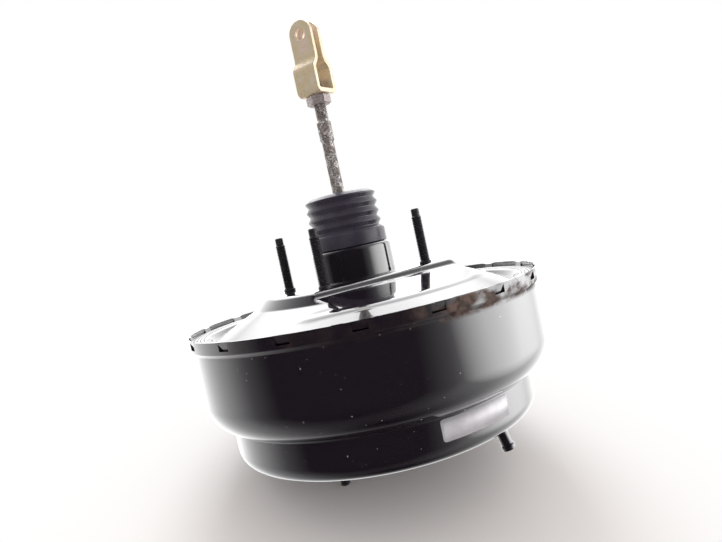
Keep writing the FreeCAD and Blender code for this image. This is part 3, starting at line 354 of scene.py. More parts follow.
def plain_steel(name, colour, roughness):
    material, tree, shader = new_finish(name, colour, roughness, 0.9)
    cloud = ramp(tree, noise(tree, 200.0, 4.0), [(0.3, 0.75), (0.7, 1.0)])
    tree.links.new(mix(tree, cloud, (0.3, 0.29, 0.28), colour), shader.inputs["Base Color"])
    emboss(tree, shader, noise(tree, 2000.0, 2.0), 0.008 * MM)
    return material


def felt():
    material, tree, shader = new_finish("filter_felt", (0.35, 0.34, 0.31), 0.95)
    fibres = ramp(tree, noise(tree, 1800.0, 5.0), [(0.3, (0.2, 0.19, 0.17)), (0.7, (0.42, 0.4, 0.37))])
    tree.links.new(fibres, shader.inputs["Base Color"])
    emboss(tree, shader, noise(tree, 1800.0, 5.0), 0.1 * MM)
    return material


label_finish = foil()
finishes = {
    "black_paint": rear_paint,
    "stud_steel": stud_finish,
    "bare_steel": plain_steel("bare_steel", (0.55, 0.54, 0.52), 0.35),
    "spring_steel": plain_steel("spring_steel", (0.35, 0.34, 0.33), 0.4),
    "rod_steel": rod_finish,
    "yellow_zinc": clevis_finish,
    "boot_rubber": boot_finish,
    "seal_rubber": seal_finish,
    "moulded_plastic": plastic_finish,
    "filter_felt": felt(),
}
print("finishes:", sorted(finishes))

# %% [markdown]
# The inner pieces keep their solids as they are packed. Each takes the finish of its slot in the record,
# so a look through the front bore or under the boot finds plastic, felt, rubber and steel.

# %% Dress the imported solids
for subpart in frame["record"]["subparts"]:
    solid = frame["nodes"][subpart["node"]]
    solid.data.materials.clear()
    solid.data.materials.append(finishes[subpart["material_slot"]])
print("dressed", len(frame["nodes"]), "solids")

# %% [markdown]
# ## Making a piece
# Every piece starts as a bmesh and ends as an object at the origin, with its place in its mesh. One
# helper does that last step for all of them: it merges doubles, turns the faces outwards, keeps hard
# edges hard and gives the piece its finish and its body.

# %% Piece helpers
HARD_EDGE = math.radians(32)
MERGE = 0.002 * MM
AXIS = Vector((0, 0, 1))


def finish(name, shaped, material=None, body=None, replaced=(), tidy=True):
    """Make an object of a bmesh, smooth but for its hard edges, and let it ride on its body."""
    if tidy:
        bmesh.ops.remove_doubles(shaped, verts=shaped.verts, dist=MERGE)
        bmesh.ops.recalc_face_normals(shaped, faces=shaped.faces)
    mesh = bpy.data.meshes.new(name)
    shaped.to_mesh(mesh)
    shaped.free()
    mesh.shade_smooth()
    mesh.set_sharp_from_angle(angle=HARD_EDGE)
    piece = bpy.data.objects.new(name, mesh)
    bpy.context.scene.collection.objects.link(piece)
    if material is not None:
        mesh.materials.append(material)
    if body is not None:
        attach(piece, body)
    if replaced:
        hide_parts(*replaced)
    print(name, "has", len(mesh.polygons), "faces")
    return piece


def draw_wire(shaped, corners, closed=False, segments=8):
    """A chain of edges through (across, up) corners in mm; a corner with a third number is rounded."""
    points = [shaped.verts.new(Vector((corner[0], 0, corner[1])) * MM) for corner in corners]
    for first, second in zip(points, points[1:]):
        shaped.edges.new((first, second))
    if closed:
        shaped.edges.new((points[-1], points[0]))
    places = [point.co.copy() for point in points]
    count = len(corners)
    for index, corner in enumerate(corners):
        if len(corner) == 3:
            way_in = places[index] - places[index - 1]
            way_out = places[(index + 1) % count] - places[index]
            reach = corner[2] * MM * math.tan(way_in.angle(way_out) / 2)
            bmesh.ops.bevel(shaped, geom=[points[index]], offset=reach, offset_type="OFFSET",
                            segments=segments, profile=0.5, affect="VERTICES", material=-1)


def turn_round(shaped, steps, angle=math.tau, centre=Vector()):
    """Spin every edge in the bmesh about the Z axis through a centre."""
    bmesh.ops.spin(shaped, geom=shaped.verts[:] + shaped.edges[:], cent=centre, axis=AXIS, angle=angle,
                   steps=steps, use_merge=angle == math.tau)


def turned(corners, steps=96, closed=False, segments=8):
    """A bmesh turned from an outline of (radius, height) corners."""
    shaped = bmesh.new()
    draw_wire(shaped, corners, closed, segments)
    turn_round(shaped, steps)
    return shaped


def soften(piece, width, segments=2, angle=35.0):
    """Round the hard edges of a finished piece a little, so that they catch light."""
    bevel = piece.modifiers.new("soft_edges", "BEVEL")
    bevel.width = width * MM
    bevel.segments = segments
    bevel.profile = 0.5
    bevel.limit_method = "ANGLE"
    bevel.angle_limit = math.radians(angle)
    bevel.harden_normals = True
    return piece


def thicken(piece, wall, side=-1.0, even=True):
    """Give a sheet its wall, on its inner side unless told otherwise."""
    solid = piece.modifiers.new("wall", "SOLIDIFY")
    solid.thickness = wall * MM
    solid.offset = side
    solid.use_even_offset = even
    return piece


def even_shade(piece):
    """Let the large faces lead the shading, so that a flat wall stays flat beside a rounding."""
    weigh = piece.modifiers.new("even_shade", "WEIGHTED_NORMAL")
    weigh.keep_sharp = True
    return piece


def copied_in(target, source):
    """Add the faces of one bmesh to another."""
    mesh = bpy.data.meshes.new("part")
    source.to_mesh(mesh)
    source.free()
    target.from_mesh(mesh)
    bpy.data.meshes.remove(mesh)


def combined(shaped, tool, operation):
    """The first solid with the second cut from it, or what they share."""
    objects = []
    for name, part in (("blank", shaped), ("tool", tool)):
        bmesh.ops.recalc_face_normals(part, faces=part.faces)
        mesh = bpy.data.meshes.new(name)
        part.to_mesh(mesh)
        part.free()
        piece = bpy.data.objects.new(name, mesh)
        bpy.context.scene.collection.objects.link(piece)
        objects.append(piece)
    change = objects[0].modifiers.new("cut", "BOOLEAN")
    change.object = objects[1]
    change.operation = operation
    change.solver = "EXACT"
    graph = bpy.context.evaluated_depsgraph_get()
    mesh = bpy.data.meshes.new_from_object(objects[0].evaluated_get(graph))
    result = bmesh.new()
    result.from_mesh(mesh)
    for piece in objects:
        old = piece.data
        bpy.data.objects.remove(piece)
        bpy.data.meshes.remove(old)
    bpy.data.meshes.remove(mesh)
    return result


print("piece helpers are ready")

# %% [markdown]
# ## Floor
# The booster stands on the tips of its two master cylinder studs and on the lower edge of the drum, so
# it leans. The lean follows from their heights: the tips reach down by TIP, and the edge is a rounding of
# EDGE_BEND about a circle of EDGE_RING at EDGE_LEVEL. The floor is turned by that angle under the part. It
# keeps the part's soft shadow near the drum, and farther off it fades to the white of the background.

# %% Floor
TIP = 155.5 * MM
EDGE_RING = 109.0 * MM
EDGE_LEVEL = 108.0 * MM
EDGE_BEND = 12.0 * MM
FLOOR_SIZE = 3.0
LEAN_STEP = math.radians(0.02)

lean = 0.0
while TIP * math.cos(lean) > EDGE_RING * math.sin(lean) + EDGE_LEVEL * math.cos(lean) + EDGE_BEND:
    lean += LEAN_STEP
floor_up = Vector((0, -math.sin(lean), math.cos(lean)))
floor_turn = AXIS.rotation_difference(floor_up).to_matrix().to_4x4()
floor_shape = bmesh.new()
bmesh.ops.create_grid(floor_shape, x_segments=1, y_segments=1, size=FLOOR_SIZE)
floor_place = Matrix.Translation(floor_up * -TIP * math.cos(lean)) @ floor_turn
bmesh.ops.transform(floor_shape, matrix=floor_place, verts=floor_shape.verts)

SHADE_MIDDLE = Vector((-40.0, -75.0, -140.0)) * MM
SHADE_REACH = 140.0 * MM
SHADE_FADE = 140.0 * MM
floor_finish, floor_tree, floor_shader = new_finish("white_floor", (0.92, 0.87, 0.85), 0.6)
spread = floor_tree.nodes.new("ShaderNodeVectorMath")
spread.operation = "DISTANCE"
spread.inputs[1].default_value = SHADE_MIDDLE
floor_tree.links.new(place_of(floor_tree), spread.inputs[0])
far_off = calculate(floor_tree, "MULTIPLY_ADD", spread.outputs["Value"], 1 / SHADE_FADE,
                    -SHADE_REACH / SHADE_FADE)
light_path = floor_tree.nodes.new("ShaderNodeLightPath")
white_share = calculate(floor_tree, "MULTIPLY", far_off, light_path.outputs["Is Camera Ray"])
glow = floor_tree.nodes.new("ShaderNodeEmission")
faded = floor_tree.nodes.new("ShaderNodeMixShader")
floor_tree.links.new(white_share, faded.inputs["Fac"])
floor_tree.links.new(floor_shader.outputs["BSDF"], faded.inputs[1])
floor_tree.links.new(glow.outputs["Emission"], faded.inputs[2])
floor_tree.links.new(faded.outputs["Shader"], floor_tree.nodes["Material Output"].inputs["Surface"])
floor = finish("floor", floor_shape, floor_finish, tidy=False)
floor.visible_glossy = False
print("the part leans by", round(math.degrees(lean), 2), "degrees")

# %% [markdown]
# ## Light
# The photograph was taken in a white room, and the gloss paint mirrors it. The world is that room: plain
# white light for every surface and white where the camera sees it. Mirrored rays see three things added
# up: walls that are pale at the back and go dark on the side where the camera stands, a bright ceiling
# panel high at the back, which makes the cone white, and a bright window on the right.

# %% World
ROOM_LIGHT = 0.95
CAMERA_SIDE = Vector((-0.739, -0.672, 0.0))
RIGHT_SIDE = Vector((0.876, -0.48, 0.0))
PANEL_SIDE = Vector((0.298, 0.543, 0.785))
WALL_STRENGTH = 1.7
PANEL_STRENGTH = 2.9
WINDOW_STRENGTH = 1.5

world = bpy.data.worlds.new("white_room")
world.use_nodes = True
bpy.context.scene.world = world
room_tree = world.node_tree
room_tree.nodes.clear()
direction = room_tree.nodes.new("ShaderNodeTexCoord")


def facing(way):
    """How far a ray looks along a direction, from -1 to 1."""
    node = room_tree.nodes.new("ShaderNodeVectorMath")
    node.operation = "DOT_PRODUCT"
    node.inputs[1].default_value = way
    room_tree.links.new(direction.outputs["Generated"], node.inputs[0])
    return node.outputs["Value"]


def background(colour, strength):
    node = room_tree.nodes.new("ShaderNodeBackground")
    plug(room_tree, colour, node.inputs["Color"])
    node.inputs["Strength"].default_value = strength
    return node.outputs["Background"]


def joined(kind, first, second, share=None):
    """Two shaders added up, or the second in place of the first where the share is high."""
    node = room_tree.nodes.new(kind)
    if share is not None:
        room_tree.links.new(share, node.inputs["Fac"])
    room_tree.links.new(first, node.inputs[-2])
    room_tree.links.new(second, node.inputs[-1])
    return node.outputs["Shader"]


to_camera = calculate(room_tree, "MULTIPLY_ADD", facing(CAMERA_SIDE), 0.5, 0.5)
wall_shade = ramp(room_tree, to_camera,
                  [(0.25, 1.0), (0.45, 0.65), (0.575, 0.45), (0.71, 0.15), (0.84, 0.01)])
upward = facing(AXIS)
level = calculate(room_tree, "SUBTRACT", 1.0, calculate(room_tree, "MULTIPLY", upward, upward))
walls = background(calculate(room_tree, "MULTIPLY", wall_shade, level), WALL_STRENGTH)
panel = background(ramp(room_tree, facing(PANEL_SIDE), [(0.8, 0.0), (0.96, 1.0)]), PANEL_STRENGTH)
window = background(ramp(room_tree, facing(RIGHT_SIDE), [(0.75, 0.0), (0.95, 1.0)]), WINDOW_STRENGTH)
mirrored = joined("ShaderNodeAddShader", joined("ShaderNodeAddShader", walls, panel), window)
room_path = room_tree.nodes.new("ShaderNodeLightPath")
lit = joined("ShaderNodeMixShader", background((1.0, 1.0, 1.0), ROOM_LIGHT), mirrored,
             room_path.outputs["Is Glossy Ray"])
shown = joined("ShaderNodeMixShader", lit, background((1.0, 1.0, 1.0), 1.0),
               room_path.outputs["Is Camera Ray"])
world_out = room_tree.nodes.new("ShaderNodeOutputWorld")
room_tree.links.new(shown, world_out.inputs["Surface"])
print("the room is lit at", ROOM_LIGHT)

# %% [markdown]
# One soft lamp hangs over the part, a little behind it, and mirrored rays don't see it. It lights the part
# softly from above and gives a soft shadow under the drum.

# %% Lamp
LAMP_PLACE = Vector((0.15, 0.28, 0.95))
LAMP_SIZE = 0.5
LAMP_POWER = 4.0

lamp_data = bpy.data.lights.new("soft_lamp", "AREA")
lamp_data.size = LAMP_SIZE
lamp_data.energy = LAMP_POWER
lamp = bpy.data.objects.new("soft_lamp", lamp_data)
bpy.context.scene.collection.objects.link(lamp)
lamp.visible_glossy = False
lamp.matrix_world = Matrix.Translation(LAMP_PLACE) @ LAMP_PLACE.to_track_quat("Z", "Y").to_matrix().to_4x4()
print("the lamp gives", LAMP_POWER, "W")

# %% [markdown]
# ## Front shell
# The drum is one deep pressing. Its outline runs from the rim's top edge down over a small ledge, along
# the wall, round the shoulder to the waist, and over the bottom to the boss and the bore. It is spun in
# one-degree steps, so that the locking lances, which are four degrees wide, fall on whole steps.

# %% Spin the drum
DRUM_STEPS = 360
WALL = 1.8
RIM = 141.0
LANCE_TOP = -15.7
LANCE_FOOT = -21.0
LANCE_STEPS = 4
LANCES = 18
TONGUE_REACH = 1.5
TONGUE_TIP = -20.3
EDGE_DENT = 0.7
DENT_WIDTH = 1.6
RIM_INSIDE = 139.0
DRUM_EDGE = 0.35

drum = turned([
    (RIM, -14.8),
    (RIM, LANCE_TOP),
    (RIM, LANCE_FOOT),
    (RIM, -23.5, 1.5),
    (138.5, -26.0, 1.5),
    (138.5, -83.0, 24.0),
    (121.0, -89.1, 1.9),
    (121.0, -120.0, 12.0),
    (68.0, -120.0, 5.0),
    (60.0, -127.0, 5.0),
    (20.0, -127.0, 3.0),
    (20.0, -115.0),
], DRUM_STEPS)
print("the drum has", len(drum.faces), "faces")

# %% [markdown]
# Each lance is a window in the rim band with a tongue that hangs from its top edge and is pushed inwards,
# over the flange of the rear shell. The faces of the window are taken out, and the edge above them is
# extruded to make the tongue.

# %% Cut the lances
bmesh.ops.remove_doubles(drum, verts=drum.verts, dist=MERGE)
LANCE_PITCH = math.tau / LANCES
lance_half = math.radians(LANCE_STEPS / 2)


def lance_offset(place):
    """The angle from the nearest lance's middle."""
    angle = math.atan2(place.y, place.x)
    return angle - round(angle / LANCE_PITCH) * LANCE_PITCH


def in_window(place):
    in_height = LANCE_FOOT * MM < place.z < LANCE_TOP * MM
    return in_height and abs(lance_offset(place)) < lance_half and place.to_2d().length > RIM_INSIDE * MM


windows = [face for face in drum.faces if in_window(face.calc_center_median())]
heads = [edge for face in windows for edge in face.edges
         if all(abs(vert.co.z - LANCE_TOP * MM) < MERGE for vert in edge.verts)]
bmesh.ops.delete(drum, geom=windows, context="FACES_ONLY")
grown = bmesh.ops.extrude_edge_only(drum, edges=heads)
for item in grown["geom"]:
    if isinstance(item, bmesh.types.BMVert):
        outward = Vector((item.co.x, item.co.y, 0)).normalized()
        item.co -= outward * TONGUE_REACH * MM
        item.co.z = TONGUE_TIP * MM
for vert in drum.verts:
    share = abs(lance_offset(vert.co)) / (lance_half * DENT_WIDTH)
    if vert.co.z > (LANCE_TOP + 0.1) * MM and share < 1:
        outward = Vector((vert.co.x, vert.co.y, 0)).normalized()
        vert.co -= outward * EDGE_DENT * MM * (1 - share ** 2) ** 2
print("cut", len(windows), "faces for", LANCES, "lances")

# %% Finish the drum
front_shell = finish("front_shell_drum", drum, front_paint, "housing", ["front_shell"])
thicken(front_shell, WALL)
soften(front_shell, DRUM_EDGE)
even_shade(front_shell)

# %% [markdown]
# ## Rear shell
# The cover is a pressing too: a neck, a flat plateau for the firewall, a shelf, a long cone and a ridged
# flange in the drum's rim. The round form is spun first from an outline with a point at each millimetre
# and a half, so that it bends smoothly where it is pressed.

# %% Spin the cover
COVER_STEPS = 160
POINT_GAP = 1.5
FLANGE = -20.5
RIDGE = 0.45

flange_line = [(128.6 + 1.3 * index, FLANGE + RIDGE * (index % 2), 0.5) for index in range(7)]
cover = bmesh.new()
draw_wire(cover, [
    (29.5, 25.2),
    (31.3, 25.2, 1.4),
    (31.3, 0.0, 3.0),
    (76.0, 0.0, 4.0),
    (83.5, -8.0, 6.0),
    (123.5, -26.2, 2.2),
    (127.0, FLANGE, 1.6),
    *flange_line,
    (138.9, FLANGE),
])
for edge in cover.edges[:]:
    points = int(edge.calc_length() / (POINT_GAP * MM))
    if points > 0:
        bmesh.ops.subdivide_edges(cover, edges=[edge], cuts=points)
turn_round(cover, COVER_STEPS)
bmesh.ops.remove_doubles(cover, verts=cover.verts, dist=MERGE)
print("the cover has", len(cover.faces), "faces")

# %% [markdown]
# On two sides a shallow facet cuts the plateau off along a straight step and falls to a round crease on
# the cone. Straight cuts beside the step give it clean lines, and then each point is set to the lower of
# the round form and the facet. Where the facet runs out on the cone, it stands proud by a small lip,
# which draws the thin bright line there.

# %% Press the facets
FACET_START = 45.2
FACET_FOOT = 49.7
FACET_DROP = 4.6
CREASE_RING = 94.0
CREASE_DROP = 12.8
RUN_OUT = 0.19
STEP_EDGE = 1.2
STEP_FOOT = 1.2
LIP = 0.8
LIP_FALL = 0.7
LIP_START = 52.0
LIP_BLEND = 4.0
LIP_REACH = 12.0
PRESSED_RING = 118.0
CUT_GAP = 0.6


def soft_lower(first, second, width):
    """The lower of two heights, with the corner between them rounded off."""
    near = max(width - abs(first - second), 0.0) / width
    return min(first, second) - near * near * width / 4


def crease_line(across):
    """How far out the crease is, at a distance to the side."""
    return math.sqrt(max(CREASE_RING ** 2 - across ** 2, (FACET_FOOT + 2.0) ** 2))


def facet_level(across, along):
    """The height of the step and of the facet beyond it, which falls to the crease ring."""
    step = (FACET_START - along) * FACET_DROP / (FACET_FOOT - FACET_START)
    crease = crease_line(across)
    share = min((along - FACET_FOOT) / (crease - FACET_FOOT), 1.0)
    flat = -FACET_DROP - share * (CREASE_DROP - FACET_DROP) - max(along - crease, 0.0) * RUN_OUT
    return -soft_lower(-step, -flat, STEP_FOOT)


def lip_over(rise, lip):
    """How far the facet stands over the cone, where it has come out by a rise."""
    if rise < lip:
        return rise
    share = min((rise - lip) / LIP_FALL, 1.0)
    return lip * (0.5 + 0.5 * math.cos(math.pi * share))


cuts = [FACET_START + offset * CUT_GAP for offset in range(-4, 16)]
for side in (-1, 1):
    for along in cuts:
        bmesh.ops.bisect_plane(cover, geom=cover.verts[:] + cover.edges[:] + cover.faces[:], dist=MERGE,
                               plane_co=Vector((0, side * along * MM, 0)), plane_no=Vector((0, side, 0)))
for vert in cover.verts:
    across, along, form = abs(vert.co.x) / MM, abs(vert.co.y) / MM, vert.co.z / MM
    if along > cuts[0] and form < 1.0 and vert.co.to_2d().length < PRESSED_RING * MM:
        facet = facet_level(across, along)
        blended = soft_lower(form, facet, STEP_EDGE)
        share = min(max((along - LIP_START) / LIP_BLEND, 0.0), 1.0)
        near_crease = min(max(1 - (crease_line(across) - along) / LIP_REACH, 0.0), 1.0)
        pressed = form + lip_over(facet - form, LIP * near_crease)
        vert.co.z = (blended + (pressed - blended) * share) * MM
print("the pressed cover has", len(cover.faces), "faces")

# %% Finish the cover
rear_shell = finish("rear_shell_cover", cover, rear_paint, "housing", ["rear_shell"])
thicken(rear_shell, WALL)

# %% [markdown]
# ## Studs
# A thread is a groove that climbs. One tooth is drawn as three edges, one pitch high, and spun about the
# stud while it also rises by a pitch each turn, so each turn ends where the next begins. The ends are cut
# flat and closed. The collar at the foot and the dog point at the tip are turned separately.


# %% Thread helper
THREAD_STEPS = 20
THREAD_DEPTH = 0.54
CREST_DROP = 0.06
CREST_START = 0.42
CREST_END = 0.58


def threaded(radius, pitch, foot, top):
    """A closed threaded length on the Z axis, in mm."""
    root = radius - THREAD_DEPTH * pitch
    crest = radius - CREST_DROP * pitch
    shaped = bmesh.new()
    start = foot - pitch * 1.5
    draw_wire(shaped, [
        (root, start),
        (crest, start + pitch * CREST_START),
        (crest, start + pitch * CREST_END),
        (root, start + pitch),
    ])
    turns = math.ceil((top - start) / pitch) + 1
    rise = Vector((0, 0, pitch / THREAD_STEPS)) * MM
    bmesh.ops.spin(shaped, geom=shaped.verts[:] + shaped.edges[:], cent=Vector(), axis=AXIS,
                   dvec=rise, angle=math.tau * turns, steps=THREAD_STEPS * turns)
    bmesh.ops.remove_doubles(shaped, verts=shaped.verts, dist=MERGE)
    for level, way in ((foot, -1), (top, 1)):
        bmesh.ops.bisect_plane(shaped, geom=shaped.verts[:] + shaped.edges[:] + shaped.faces[:],
                               dist=MERGE, plane_co=Vector((0, 0, level * MM)),
                               plane_no=Vector((0, 0, way)), clear_outer=True)
    open_edges = [edge for edge in shaped.edges if edge.is_boundary]
    bmesh.ops.holes_fill(shaped, edges=open_edges)
    return shaped


print("a thread has", THREAD_STEPS, "steps in a turn")

# %% Make the studs
STUD_RADIUS = 4.0
STUD_PITCH = 1.25
STUD_ACROSS = 46.0
STUD_ALONG = 34.0
FRONT_STUD_ACROSS = 49.0


def stud(ends, thread_foot, thread_top):
    """One stud on the axis: its turned ends and its thread."""
    shaped = threaded(STUD_RADIUS, STUD_PITCH, thread_foot, thread_top)
    for corners in ends:
        copied_in(shaped, turned(corners, 32, segments=3))
    bmesh.ops.remove_doubles(shaped, verts=shaped.verts, dist=MERGE)
    return shaped


COLLAR = [(0, -7.8), (6.5, -7.8), (6.5, -4.8), (4.75, -4.8), (4.75, 3.2, 0.3), (3.9, 4.1), (0, 4.1)]
DOG_POINT = [(0, 39.2), (3.85, 39.2), (3.95, 39.6), (3.2, 40.3), (3.2, 45.8, 0.4), (2.6, 46.4), (0, 46.4)]
studs = bmesh.new()
for across in (-STUD_ACROSS, STUD_ACROSS):
    for along in (-STUD_ALONG, STUD_ALONG):
        one = stud([COLLAR, DOG_POINT], 3.6, 39.4)
        bmesh.ops.translate(one, verts=one.verts, vec=Vector((across, along, 0)) * MM)
        copied_in(studs, one)
finish("firewall_studs_threaded", studs, stud_finish, "housing", ["firewall_studs"])

FRONT_COLLAR = [(0, -119.2), (6.5, -119.2), (6.5, -122.2), (4.75, -122.2), (4.75, -130.2, 0.3),
                (3.9, -131.1), (0, -131.1)]
FRONT_POINT = [(0, -154.4), (3.9, -154.4), (3.95, -154.8), (3.3, -155.5), (0, -155.5)]
front_studs = bmesh.new()
for across in (-FRONT_STUD_ACROSS, FRONT_STUD_ACROSS):
    one = stud([FRONT_COLLAR, FRONT_POINT], -154.6, -130.8)
    bmesh.ops.translate(one, verts=one.verts, vec=Vector((across, 0, 0)) * MM)
    copied_in(front_studs, one)
finish("master_cylinder_studs_threaded", front_studs, stud_finish, "housing",
       ["master_cylinder_studs"])

# %% [markdown]
# ## Boot
# The boot is a moulded bellows: a straight cuff over the neck, four folds and a shallow dome round the
# push rod. The lip round the rod moves with the rod, over a wider hole in the dome, so the rod can tilt in
# it.

# %% Boot
BOOT_FOOT = 27.5
BOOT_TOP = 71.2
FOLD_PITCH = 7.55
FIRST_CREST = 44.8
CREST = 29.2
VALLEY = 26.6
SKIN = 1.6

boot_line = [(28.4, 18.5), (28.4, BOOT_FOOT, 0.3), (30.5, BOOT_FOOT, 0.5), (30.5, 38.2, 2.6)]
for fold in range(4):
    boot_line.append((VALLEY, FIRST_CREST + FOLD_PITCH * (fold - 0.5), 0.9))
    boot_line.append((CREST, FIRST_CREST + FOLD_PITCH * fold, 1.0))
boot_line += [(23.5, 70.6, 6.0), (9.3, BOOT_TOP - 0.3)]
bellows = turned(boot_line, 128, segments=5)
boot = finish("boot_bellows", bellows, boot_finish, "housing", ["boot"])
thicken(boot, SKIN, even=False)
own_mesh(boot)

lip = turned([(4.95, 68.6), (4.95, BOOT_TOP, 0.3), (6.4, BOOT_TOP, 0.4), (14.2, 71.0), (14.2, 70.8),
              (6.8, 69.9), (6.6, 68.6)], 96, closed=True, segments=3)
finish("boot_lip", lip, boot_finish, "pedal_rod", ["boot"])

# %% [markdown]
# ## Push rod
# The rod is turned from the ball in the plunger to its threaded end. Only the length from the boot to the
# clevis is seen: a plain shank, a thicker knurled length, a short undercut and the thread.

# %% Push rod
rod = turned([
    (0, -5.8), (2.4, -5.2), (4.2, -3.4), (4.8, -1.0), (4.2, 1.4), (3.2, 2.6), (3.2, 5.8), (4.85, 7.0),
    (4.85, 31.5), (6.4, 31.5), (6.4, 33.0), (4.85, 34.2), (4.85, 113.8), (5.75, 115.0, 0.5),
    (5.75, 130.0, 0.5), (4.25, 130.0, 0.2), (4.25, 132.0), (4.6, 132.6), (0, 132.6),
], 64, segments=3)
copied_in(rod, threaded(5.0, 1.5, 132.2, 165.2))
copied_in(rod, turned([(0, 164.6), (4.9, 164.6), (4.9, 165.1), (4.0, 166.0), (0, 166.0)], 48))
finish("push_rod_threaded", rod, rod_finish, "pedal_rod", ["push_rod"])

# %% [markdown]
# ## Lock nut
# A nut is a hexagon whose corners have been turned off at both ends. So a six-sided prism and a turned
# crown are made, and what the two share is kept.

# %% Lock nut
NUT_FLATS = 17.0
NUT_FOOT = 144.0
NUT_TOP = 151.45
NUT_CHAMFER = 0.9
nut_corner = NUT_FLATS / 2 / math.cos(math.radians(30))
hexagon = bmesh.new()
bmesh.ops.create_cone(hexagon, segments=6, radius1=nut_corner * MM, radius2=nut_corner * MM,
                      depth=(NUT_TOP - NUT_FOOT) * MM, cap_ends=True)
bmesh.ops.translate(hexagon, verts=hexagon.verts, vec=Vector((0, 0, (NUT_FOOT + NUT_TOP) / 2 * MM)))
crown = turned([
    (5.0, NUT_FOOT), (nut_corner - 2 * NUT_CHAMFER, NUT_FOOT), (nut_corner, NUT_FOOT + NUT_CHAMFER),
    (nut_corner, NUT_TOP - NUT_CHAMFER), (nut_corner - 2 * NUT_CHAMFER, NUT_TOP), (5.0, NUT_TOP),
], 96, closed=True)
nut = finish("lock_nut_turned", combined(hexagon, crown, "INTERSECT"), nut_finish, "pedal_rod",
             ["lock_nut"])
soften(nut, 0.25)

# %% [markdown]
# ## Clevis
# The clevis is one strip, bent to a fork with a joggle in each ear. Its side view is drawn as a closed
# outline with rounded bends and extruded to the strip's width. The ends of the ears are rounded by a wide
# bevel, the holes are cut, and a small bevel gives the sheared edges their pale line.

# %% Clevis
STRIP = 3.8
CLEVIS_WIDTH = 21.5
CLEVIS_FOOT = 151.5
CLEVIS_TOP = 211.3
HALF_FOOT = 12.0
HALF_TOP = 6.7
JOGGLE_FOOT = 173.2
JOGGLE_TOP = 179.8
PIN_LEVEL = 200.6
CLEVIS_TURN = math.radians(25.7)
EAR_FLAT = 0.15
SHEARED_EDGE = 0.6

side_line = [(HALF_TOP, CLEVIS_TOP), (HALF_TOP, JOGGLE_TOP, 5.5), (HALF_FOOT, JOGGLE_FOOT, 5.5),
             (HALF_FOOT, CLEVIS_FOOT, 4.8)]
inner_shift = STRIP * math.tan(math.atan2(HALF_FOOT - HALF_TOP, JOGGLE_TOP - JOGGLE_FOOT) / 2)
inner_line = [(HALF_TOP - STRIP, CLEVIS_TOP), (HALF_TOP - STRIP, JOGGLE_TOP - inner_shift, 9.3),
              (HALF_FOOT - STRIP, JOGGLE_FOOT - inner_shift, 1.7),
              (HALF_FOOT - STRIP, CLEVIS_FOOT + STRIP, 1.0)]
fork_line = side_line + [(-corner[0],) + corner[1:] for corner in reversed(side_line)]
fork_line += [(-corner[0],) + corner[1:] for corner in inner_line] + list(reversed(inner_line))
fork = bmesh.new()
draw_wire(fork, fork_line, closed=True, segments=6)
bmesh.ops.contextual_create(fork, geom=fork.edges[:])
bmesh.ops.translate(fork, verts=fork.verts, vec=Vector((0, -CLEVIS_WIDTH / 2, 0)) * MM)
grown = bmesh.ops.extrude_face_region(fork, geom=fork.faces[:])
moved = [item for item in grown["geom"] if isinstance(item, bmesh.types.BMVert)]
bmesh.ops.translate(fork, verts=moved, vec=Vector((0, CLEVIS_WIDTH, 0)) * MM)
bmesh.ops.recalc_face_normals(fork, faces=fork.faces)
ear_ends = [edge for edge in fork.edges
            if all(vert.co.z > (CLEVIS_TOP - 0.1) * MM for vert in edge.verts)
            and abs(edge.verts[0].co.y - edge.verts[1].co.y) < MERGE]
bmesh.ops.bevel(fork, geom=ear_ends, offset=(CLEVIS_WIDTH / 2 - EAR_FLAT) * MM, offset_type="OFFSET",
                segments=14, profile=0.5, affect="EDGES", material=-1)
print("the fork has", len(fork.faces), "faces and", len(ear_ends), "rounded ends")


# %% Drill the clevis
PIN_HOLE = 5.05
ROD_HOLE = 5.02


def drill(radius, length, place, turned_by=Matrix()):
    """A round cutter with its middle at a place."""
    shaped = bmesh.new()
    bmesh.ops.create_cone(shaped, segments=64, radius1=radius * MM, radius2=radius * MM,
                          depth=length * MM, cap_ends=True)
    bmesh.ops.transform(shaped, matrix=Matrix.Translation(Vector(place) * MM) @ turned_by,
                        verts=shaped.verts)
    return shaped


pin_cutter = drill(PIN_HOLE, 40.0, (0, 0, PIN_LEVEL), Matrix.Rotation(math.pi / 2, 4, "Y"))
rod_cutter = drill(ROD_HOLE, 12.0, (0, 0, CLEVIS_FOOT + 1.0))
fork = combined(combined(fork, pin_cutter, "DIFFERENCE"), rod_cutter, "DIFFERENCE")
bmesh.ops.transform(fork, matrix=Matrix.Rotation(CLEVIS_TURN, 4, "Z"), verts=fork.verts)
clevis = finish("clevis_strip", fork, clevis_finish, "pedal_rod", ["clevis"])
soften(clevis, SHEARED_EDGE, 3, 40.0)

# %% [markdown]
# ## Vacuum nipple
# The nipple is a short tube with a hose bead, on a round foot. It is turned upright and then leaned
# outwards and set on the drum's bottom.

# %% Vacuum nipple
NIPPLE_REACH = 98.0
NIPPLE_BEARING = math.radians(-66.0)
NIPPLE_TILT = math.radians(16.0)
FRONT_FACE = -120.0

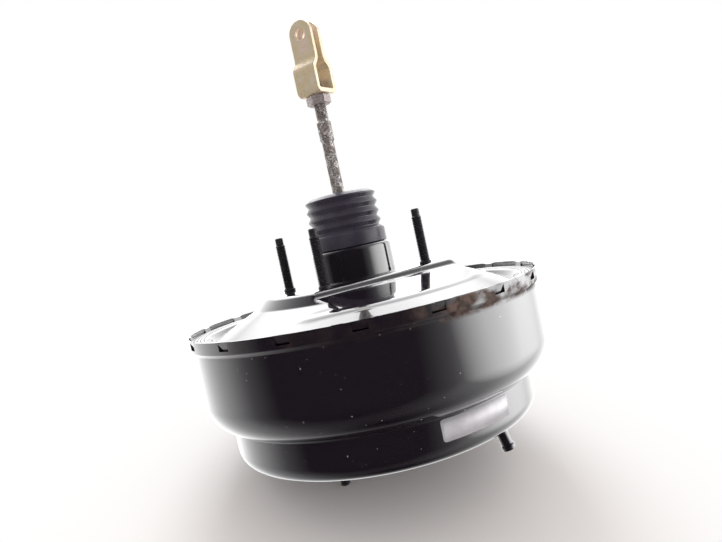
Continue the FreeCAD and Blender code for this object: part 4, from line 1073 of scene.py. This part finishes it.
nipple_place = Vector((NIPPLE_REACH * math.cos(NIPPLE_BEARING), NIPPLE_REACH * math.sin(NIPPLE_BEARING),
                       FRONT_FACE)) * MM
nipple_way = Vector((math.sin(NIPPLE_TILT) * math.cos(NIPPLE_BEARING),
                     math.sin(NIPPLE_TILT) * math.sin(NIPPLE_BEARING), -math.cos(NIPPLE_TILT)))
nipple = turned([
    (2.8, 1.0), (4.4, 1.0), (4.4, 16.6, 0.6), (5.4, 17.6, 0.5), (4.5, 20.9, 0.4), (2.8, 20.9),
], 64, closed=True, segments=4)
nipple_turn = AXIS.rotation_difference(nipple_way).to_matrix().to_4x4()
bmesh.ops.transform(nipple, matrix=Matrix.Translation(nipple_place) @ nipple_turn, verts=nipple.verts)
foot = turned([(4.0, 0.1), (8.3, 0.1), (8.5, -2.8, 0.8), (4.0, -3.0)], 64, closed=True, segments=4)
bmesh.ops.translate(foot, verts=foot.verts, vec=nipple_place)
copied_in(nipple, foot)
finish("vacuum_nipple_beaded", nipple, rear_paint, "housing", ["vacuum_nipple"])

# %% [markdown]
# ## Label
# A foil label is stuck on the waist, to the right of the camera. It is a short arc of the waist's own
# circle with rounded corners, and it is left bare.

# %% Label
WAIST = 121.0
LABEL_TOP = -91.1
LABEL_FOOT = -105.9
LABEL_START = math.radians(-102.9)
LABEL_SPAN = math.radians(27.9)
LABEL_STEPS = 30
LABEL_GAP = 0.03
LABEL_CORNER = 2.0
LABEL_THICKNESS = 0.15

label = bmesh.new()
draw_wire(label, [(WAIST + LABEL_GAP, LABEL_FOOT), (WAIST + LABEL_GAP, LABEL_TOP)])
bmesh.ops.rotate(label, verts=label.verts, cent=Vector(), matrix=Matrix.Rotation(LABEL_START, 3, "Z"))
turn_round(label, LABEL_STEPS, LABEL_SPAN)
corners = [vert for vert in label.verts if len(vert.link_faces) == 1]
bmesh.ops.bevel(label, geom=corners, offset=LABEL_CORNER * MM, offset_type="OFFSET", segments=4,
                profile=0.5, affect="VERTICES", material=-1)
label_piece = finish("label_bare", label, label_finish, "housing")
thicken(label_piece, -LABEL_THICKNESS, side=1.0)
